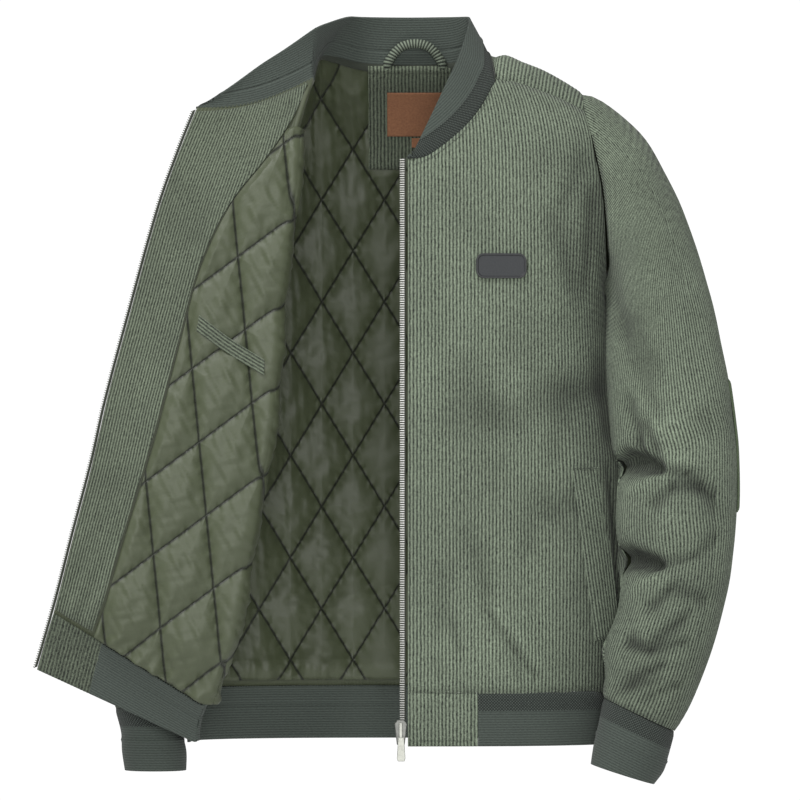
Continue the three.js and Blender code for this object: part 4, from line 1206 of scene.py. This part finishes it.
neck_patch()
neck_tape()
inside_back("label_cloth", "label", steps(-24, 44, 60), steps(-19, -67, 30), ON_LINING + 3.6, 0.96)
inside_back("size_tab_cloth", "size_tab", steps(2, 20, 10), steps(-69, -80, 8), ON_LINING + 3.2, 0.8)
hanger_loop()


# Pockets
LEFT_WELT = table("x z", [(169, -425), (199, -421), (193, -603), (218, -597)])
INNER_WELT = table("share row", [(0.02, 10.15), (0.26, 9.6), (0.5, 9.0)])
INNER_WELT_HEIGHT = 0.38


def welt(side, plain, lift):
    n = -normals(plain)
    uv = cloth_map(plain)
    # Painted shade: the welts a little darker all over.
    cloth(f"pocket_{side}_cloth", lifted(plain, n, lift + wales(uv[..., 0])), n, CORD,
          f"pocket_welt_{side}", 1.6, uv, painted_shade=np.full(uv.shape[:2], 0.16))


def left_welt():
    """The left welt, between its four corners, standing higher past its inner edge."""
    def corner(name, s, t):
        a, b, c, d = LEFT_WELT[name]
        return mix(mix(a, c, t), mix(b, d, t), s)

    plain = np.array([[body_point(corner("x", s, t), corner("z", s, t), False) for s in steps(0, 1, 44)]
                      for t in steps(0, 1, 40)])
    welt("left", plain, 2.9 - 1.3 * bell(np.linspace(0, 1, 45)[None], 0.06))


def inner_welt():
    rows = [[curve_through(curve_through(FR, [row + low])[0], [ROLL_END + OPEN_FLAP * share])[0]
             for share, row in zip(*INNER_WELT.values())] for low in (0, INNER_WELT_HEIGHT)]
    plain = surface(np.array(rows), np.linspace(0, 1, 24), np.linspace(0, 2, 60))
    n = normals(plain)
    n *= np.sign(-n[..., 1:2])
    uv = cloth_map(plain)[..., ::-1]
    roll = 1.2 * np.sin(math.pi * np.linspace(0, 1, 24)[:, None]) ** 0.5
    rise = SHELL + LOOSE_LINING + LINING + PUFF - 0.6 + roll + wales(uv[..., 0])
    cloth("inner_pocket_cloth", lifted(plain, n, rise), n, CORD_PAINTED_SHADE,
          "inner_pocket_welt", 1.6, uv)


left_welt()
welt("right", surface(FR, np.linspace(12.2, 15.6, 40), np.linspace(1.6, 3.4, 40)), 2.2)
inner_welt()


# Badge: a bare rubber plate with a raised rim
BADGE = {"width": 53.0, "height": 26.0, "corner": 8.0, "thick": 2.6, "rim": 1.8, "sunk": 0.9}
BADGE_AT = (94.7, -212.0)


def bevelled(obj, width, **options):
    bevel = obj.modifiers.new("edges", "BEVEL")
    bevel.width = width * MM
    bevel.segments = 3
    for key, value in options.items():
        setattr(bevel, key, value)


def badge():
    p = body_point(*BADGE_AT, False)
    n = body_normal(p)
    side = unit(np.cross(vec(0, 0, 1), n))
    up = np.cross(n, side)
    bm = bmesh.new()
    bmesh.ops.create_grid(bm, x_segments=1, y_segments=1, size=0.5)
    bmesh.ops.scale(bm, verts=bm.verts, vec=(BADGE["width"], BADGE["height"], 1))
    bmesh.ops.bevel(bm, geom=list(bm.verts), offset=BADGE["corner"], affect="VERTICES", segments=7,
                    profile=0.5, material=-1)
    top = upper_verts(bmesh.ops.extrude_face_region(bm, geom=bm.faces[:]))
    bmesh.ops.translate(bm, verts=top, vec=(0, 0, BADGE["thick"]))
    face = max(bm.faces, key=lambda f: f.calc_center_median().z)
    bmesh.ops.inset_region(bm, faces=[face], thickness=BADGE["rim"], depth=0)
    bmesh.ops.inset_region(bm, faces=[face], thickness=0.5, depth=-BADGE["sunk"])
    face.material_index = 1
    for vert in bm.verts:
        vert.co = (p + side * vert.co.x + up * vert.co.y + n * (vert.co.z + 0.4)) * MM
    mesh = mesh_of(bm, "badge_plate")
    mesh.materials.append(RUBBER)
    mesh.materials.append(SLATE)
    bevelled(finish("badge_plate", mesh, RUBBER, "badge"), 0.35, limit_method="ANGLE")


badge()


# Zip and stitching
FORWARD = vec(0, -1, 0)
LEFT_WAY = vec(-1, 0, 0)
RIGHT_WAY = unit(vec(-1, 0, -0.3))
TOOTH_STEP = 2.4
SLIDER_X = -9.6
PULL_X = -9.2
SLIDER_BODY = [(-6.6, -688), (-3.6, -684), (3.6, -684), (6.6, -688), (4.1, -710), (-4.1, -710)]
SLIDER_BRIDGE = [(-1.8, -687), (1.8, -687), (1.8, -705), (-1.8, -705)]
PULL_TAB = [(-3.1, -702), (3.1, -702), (4.4, -724), (3.4, -727), (-3.4, -727), (-4.4, -724)]


def along_path(points, pitch):
    """Places and directions at each pitch along a path."""
    points = np.array(points)
    run = np.concatenate([[0], np.cumsum(np.linalg.norm(np.diff(points, axis=0), axis=1))])
    at = np.arange(pitch / 2, run[-1], pitch)
    places = np.stack([np.interp(at, run, points[:, k]) for k in range(3)], axis=1)
    return [(p, unit(way)) for p, way in zip(places, np.gradient(places, axis=0))]


def blocks(name, places, outward, size, taper, material, node):
    """Small blocks in a row, each slimmer on its outward side: zip teeth or stitches."""
    bm = bmesh.new()
    for p, way in places:
        out = unit(outward - way * float(np.dot(outward, way)))
        side = np.cross(way, out)
        for vert in bmesh.ops.create_cube(bm, size=1)["verts"]:
            slim = taper if vert.co.x > 0 else 1.0
            flat = side * vert.co.y * size[1] + way * vert.co.z * size[2]
            vert.co = (p + out * vert.co.x * size[0] + flat * slim) * MM
    finish(name, mesh_of(bm, name), material, node)


def tape(side, path, way, width):
    plain = np.array([[p + way * s for s in (0, width / 2, width)] for p in path])
    cloth(f"zip_tape_{side}_cloth", plain, np.broadcast_to(FORWARD, plain.shape), TAPE,
          f"zip_tape_{side}", 1.0, cloth_map(plain), narrow=True)


def teeth(side, path, way, size, material):
    blocks(f"zip_teeth_{side}", along_path(path, TOOTH_STEP), way, size, 0.72, material,
           f"zip_chain_{side}")


def plate(name, outline, x, y, depth, material, node, body, bevel):
    """A flat metal piece of an outline seen from the front."""
    bm = bmesh.new()
    face = bm.faces.new([bm.verts.new(((x + a) * MM, y * MM, z * MM)) for a, z in outline])
    front = upper_verts(bmesh.ops.extrude_face_region(bm, geom=[face]))
    bmesh.ops.translate(bm, verts=front, vec=(0, -depth * MM, 0))
    bevelled(finish(name, mesh_of(bm, name), material, node, body), bevel)


def stitches(name, line, lift, gap, length, thick):
    """Thread along a line on the front of the body."""
    points = [body_point(x, z, False) for x, z in line]
    places = along_path([p + body_normal(p) * lift for p in points], gap)
    blocks("stitch_" + name, places, FORWARD, (thick, thick, length), 0.5, THREAD_AND_SHADOW, None)


LEFT_ZIP = [body_point(FRONT_EDGE, z, False) for z in steps(-100, -683.7, 40)]
RIGHT_ZIP = [vec(*(look(OPEN_EDGE, "v", name, v) for name in "xyz")) for v in steps(0.004, 1.085, 60)]
tape("left", [p + vec(-2.3, 0.8, 0) for p in LEFT_ZIP], LEFT_WAY, 4.6)
teeth("left", [p + vec(-6.2, 1.3, 0) for p in LEFT_ZIP], LEFT_WAY, (4.8, 2.6, 1.15), TEETH)
tape("right", [p + RIGHT_WAY * 0.5 + vec(0, -1.6, 0) for p in RIGHT_ZIP], RIGHT_WAY, 3.2)
teeth("right", [p + RIGHT_WAY * 4.2 + FORWARD for p in RIGHT_ZIP], RIGHT_WAY, (2.4, 2.0, 1.0), TEETH_PAINTED_SHADE)
plate("slider_body", SLIDER_BODY, SLIDER_X, -93, 6.2, SHADED, "zip_slider", JACKET, 0.9)
plate("slider_bridge", SLIDER_BRIDGE, SLIDER_X, -99, 1.6, SILVER, None, JACKET, 0.6)
plate("pull_tab_plate", PULL_TAB, PULL_X, -101, 1.7, SILVER, "pull_tab", PULL, 0.5)
stitches("neck", [(x, look(NECKLINE, "x", "z", x) - 6) for x in steps(2, 85, 40)], 0.6, 3, 2.1, 0.6)
stitches("hem_tab", [(x, HEM_BOTTOM + 6) for x in steps(0, 64, 12)], 1.3, 3, 2.1, 0.6)
stitches("tab_side", [(64, z) for z in steps(-664, -706, 10)], 1.6, 3, 2.1, 0.6)
stitches("pocket_top", [(170 + x, -423) for x in steps(0, 26, 8)], 3.6, 2.4, 1.8, 0.8)
stitches("pocket_foot", [(194 + x, -599) for x in steps(0, 26, 8)], 3.6, 2.4, 1.8, 0.8)


# Stage, light and camera
FLOOR_SIZE, FLOOR_Z = 4.0, -1.25
LAMPS = (("key", (-1.6, -2.2, 3.2), 1.6), ("fill", (0.2, -5.6, 0.2), 2.0))
LAMP_WATTS = 150
LAMP_AIM = Vector((0, 0, -0.35))
WORLD_LIGHT, WORLD_SEEN = 0.45, 0.6
CAMERA_DISTANCE, CAMERA_FRONT, VIEW_WIDTH = 7.0, -0.095, 0.832


def in_scene(name, data):
    obj = bpy.data.objects.new(name, data)
    bpy.context.scene.collection.objects.link(obj)
    return obj


def pale_floor():
    bm = bmesh.new()
    bmesh.ops.create_grid(bm, x_segments=1, y_segments=1, size=FLOOR_SIZE)
    bmesh.ops.translate(bm, verts=bm.verts, vec=(0, 0, FLOOR_Z))
    pale = Recipe("pale_floor", 0.9)
    pale.colour(linear(244, 244, 244))
    mesh = mesh_of(bm, "floor")
    mesh.materials.append(pale.material)
    in_scene("floor", mesh)


def studio():
    """White surroundings, brighter to the camera than to the cloth, and two soft lamps."""
    world = bpy.data.worlds.new("studio")
    world.use_nodes = True
    nodes, links = world.node_tree.nodes, world.node_tree.links
    seen = nodes.new("ShaderNodeLightPath")
    strength = nodes.new("ShaderNodeMath")
    strength.operation = "MULTIPLY_ADD"
    strength.inputs[1].default_value = WORLD_SEEN
    strength.inputs[2].default_value = WORLD_LIGHT
    links.new(seen.outputs["Is Camera Ray"], strength.inputs[0])
    nodes["Background"].inputs[0].default_value = (1, 1, 1, 1)
    links.new(strength.outputs[0], nodes["Background"].inputs[1])
    bpy.context.scene.world = world
    for name, place, size in LAMPS:
        light = bpy.data.lights.new(name, "AREA")
        light.size = size
        light.energy = LAMP_WATTS
        lamp = in_scene(name, light)
        lamp.location = place
        lamp.rotation_mode = "QUATERNION"
        lamp.rotation_quaternion = (LAMP_AIM - lamp.location).to_track_quat("-Z", "Y")


def camera():
    lens = bpy.data.cameras.new("camera")
    lens.sensor_width = 36
    lens.lens = lens.sensor_width * CAMERA_DISTANCE / VIEW_WIDTH
    lens.clip_end = 40
    view = in_scene("camera", lens)
    view.location = (-0.0104, CAMERA_FRONT - CAMERA_DISTANCE, -0.3515)
    view.rotation_euler = (math.pi / 2, 0, 0)
    bpy.context.scene.camera = view
    bpy.context.scene.view_settings.view_transform = "Standard"


pale_floor()
studio()
camera()
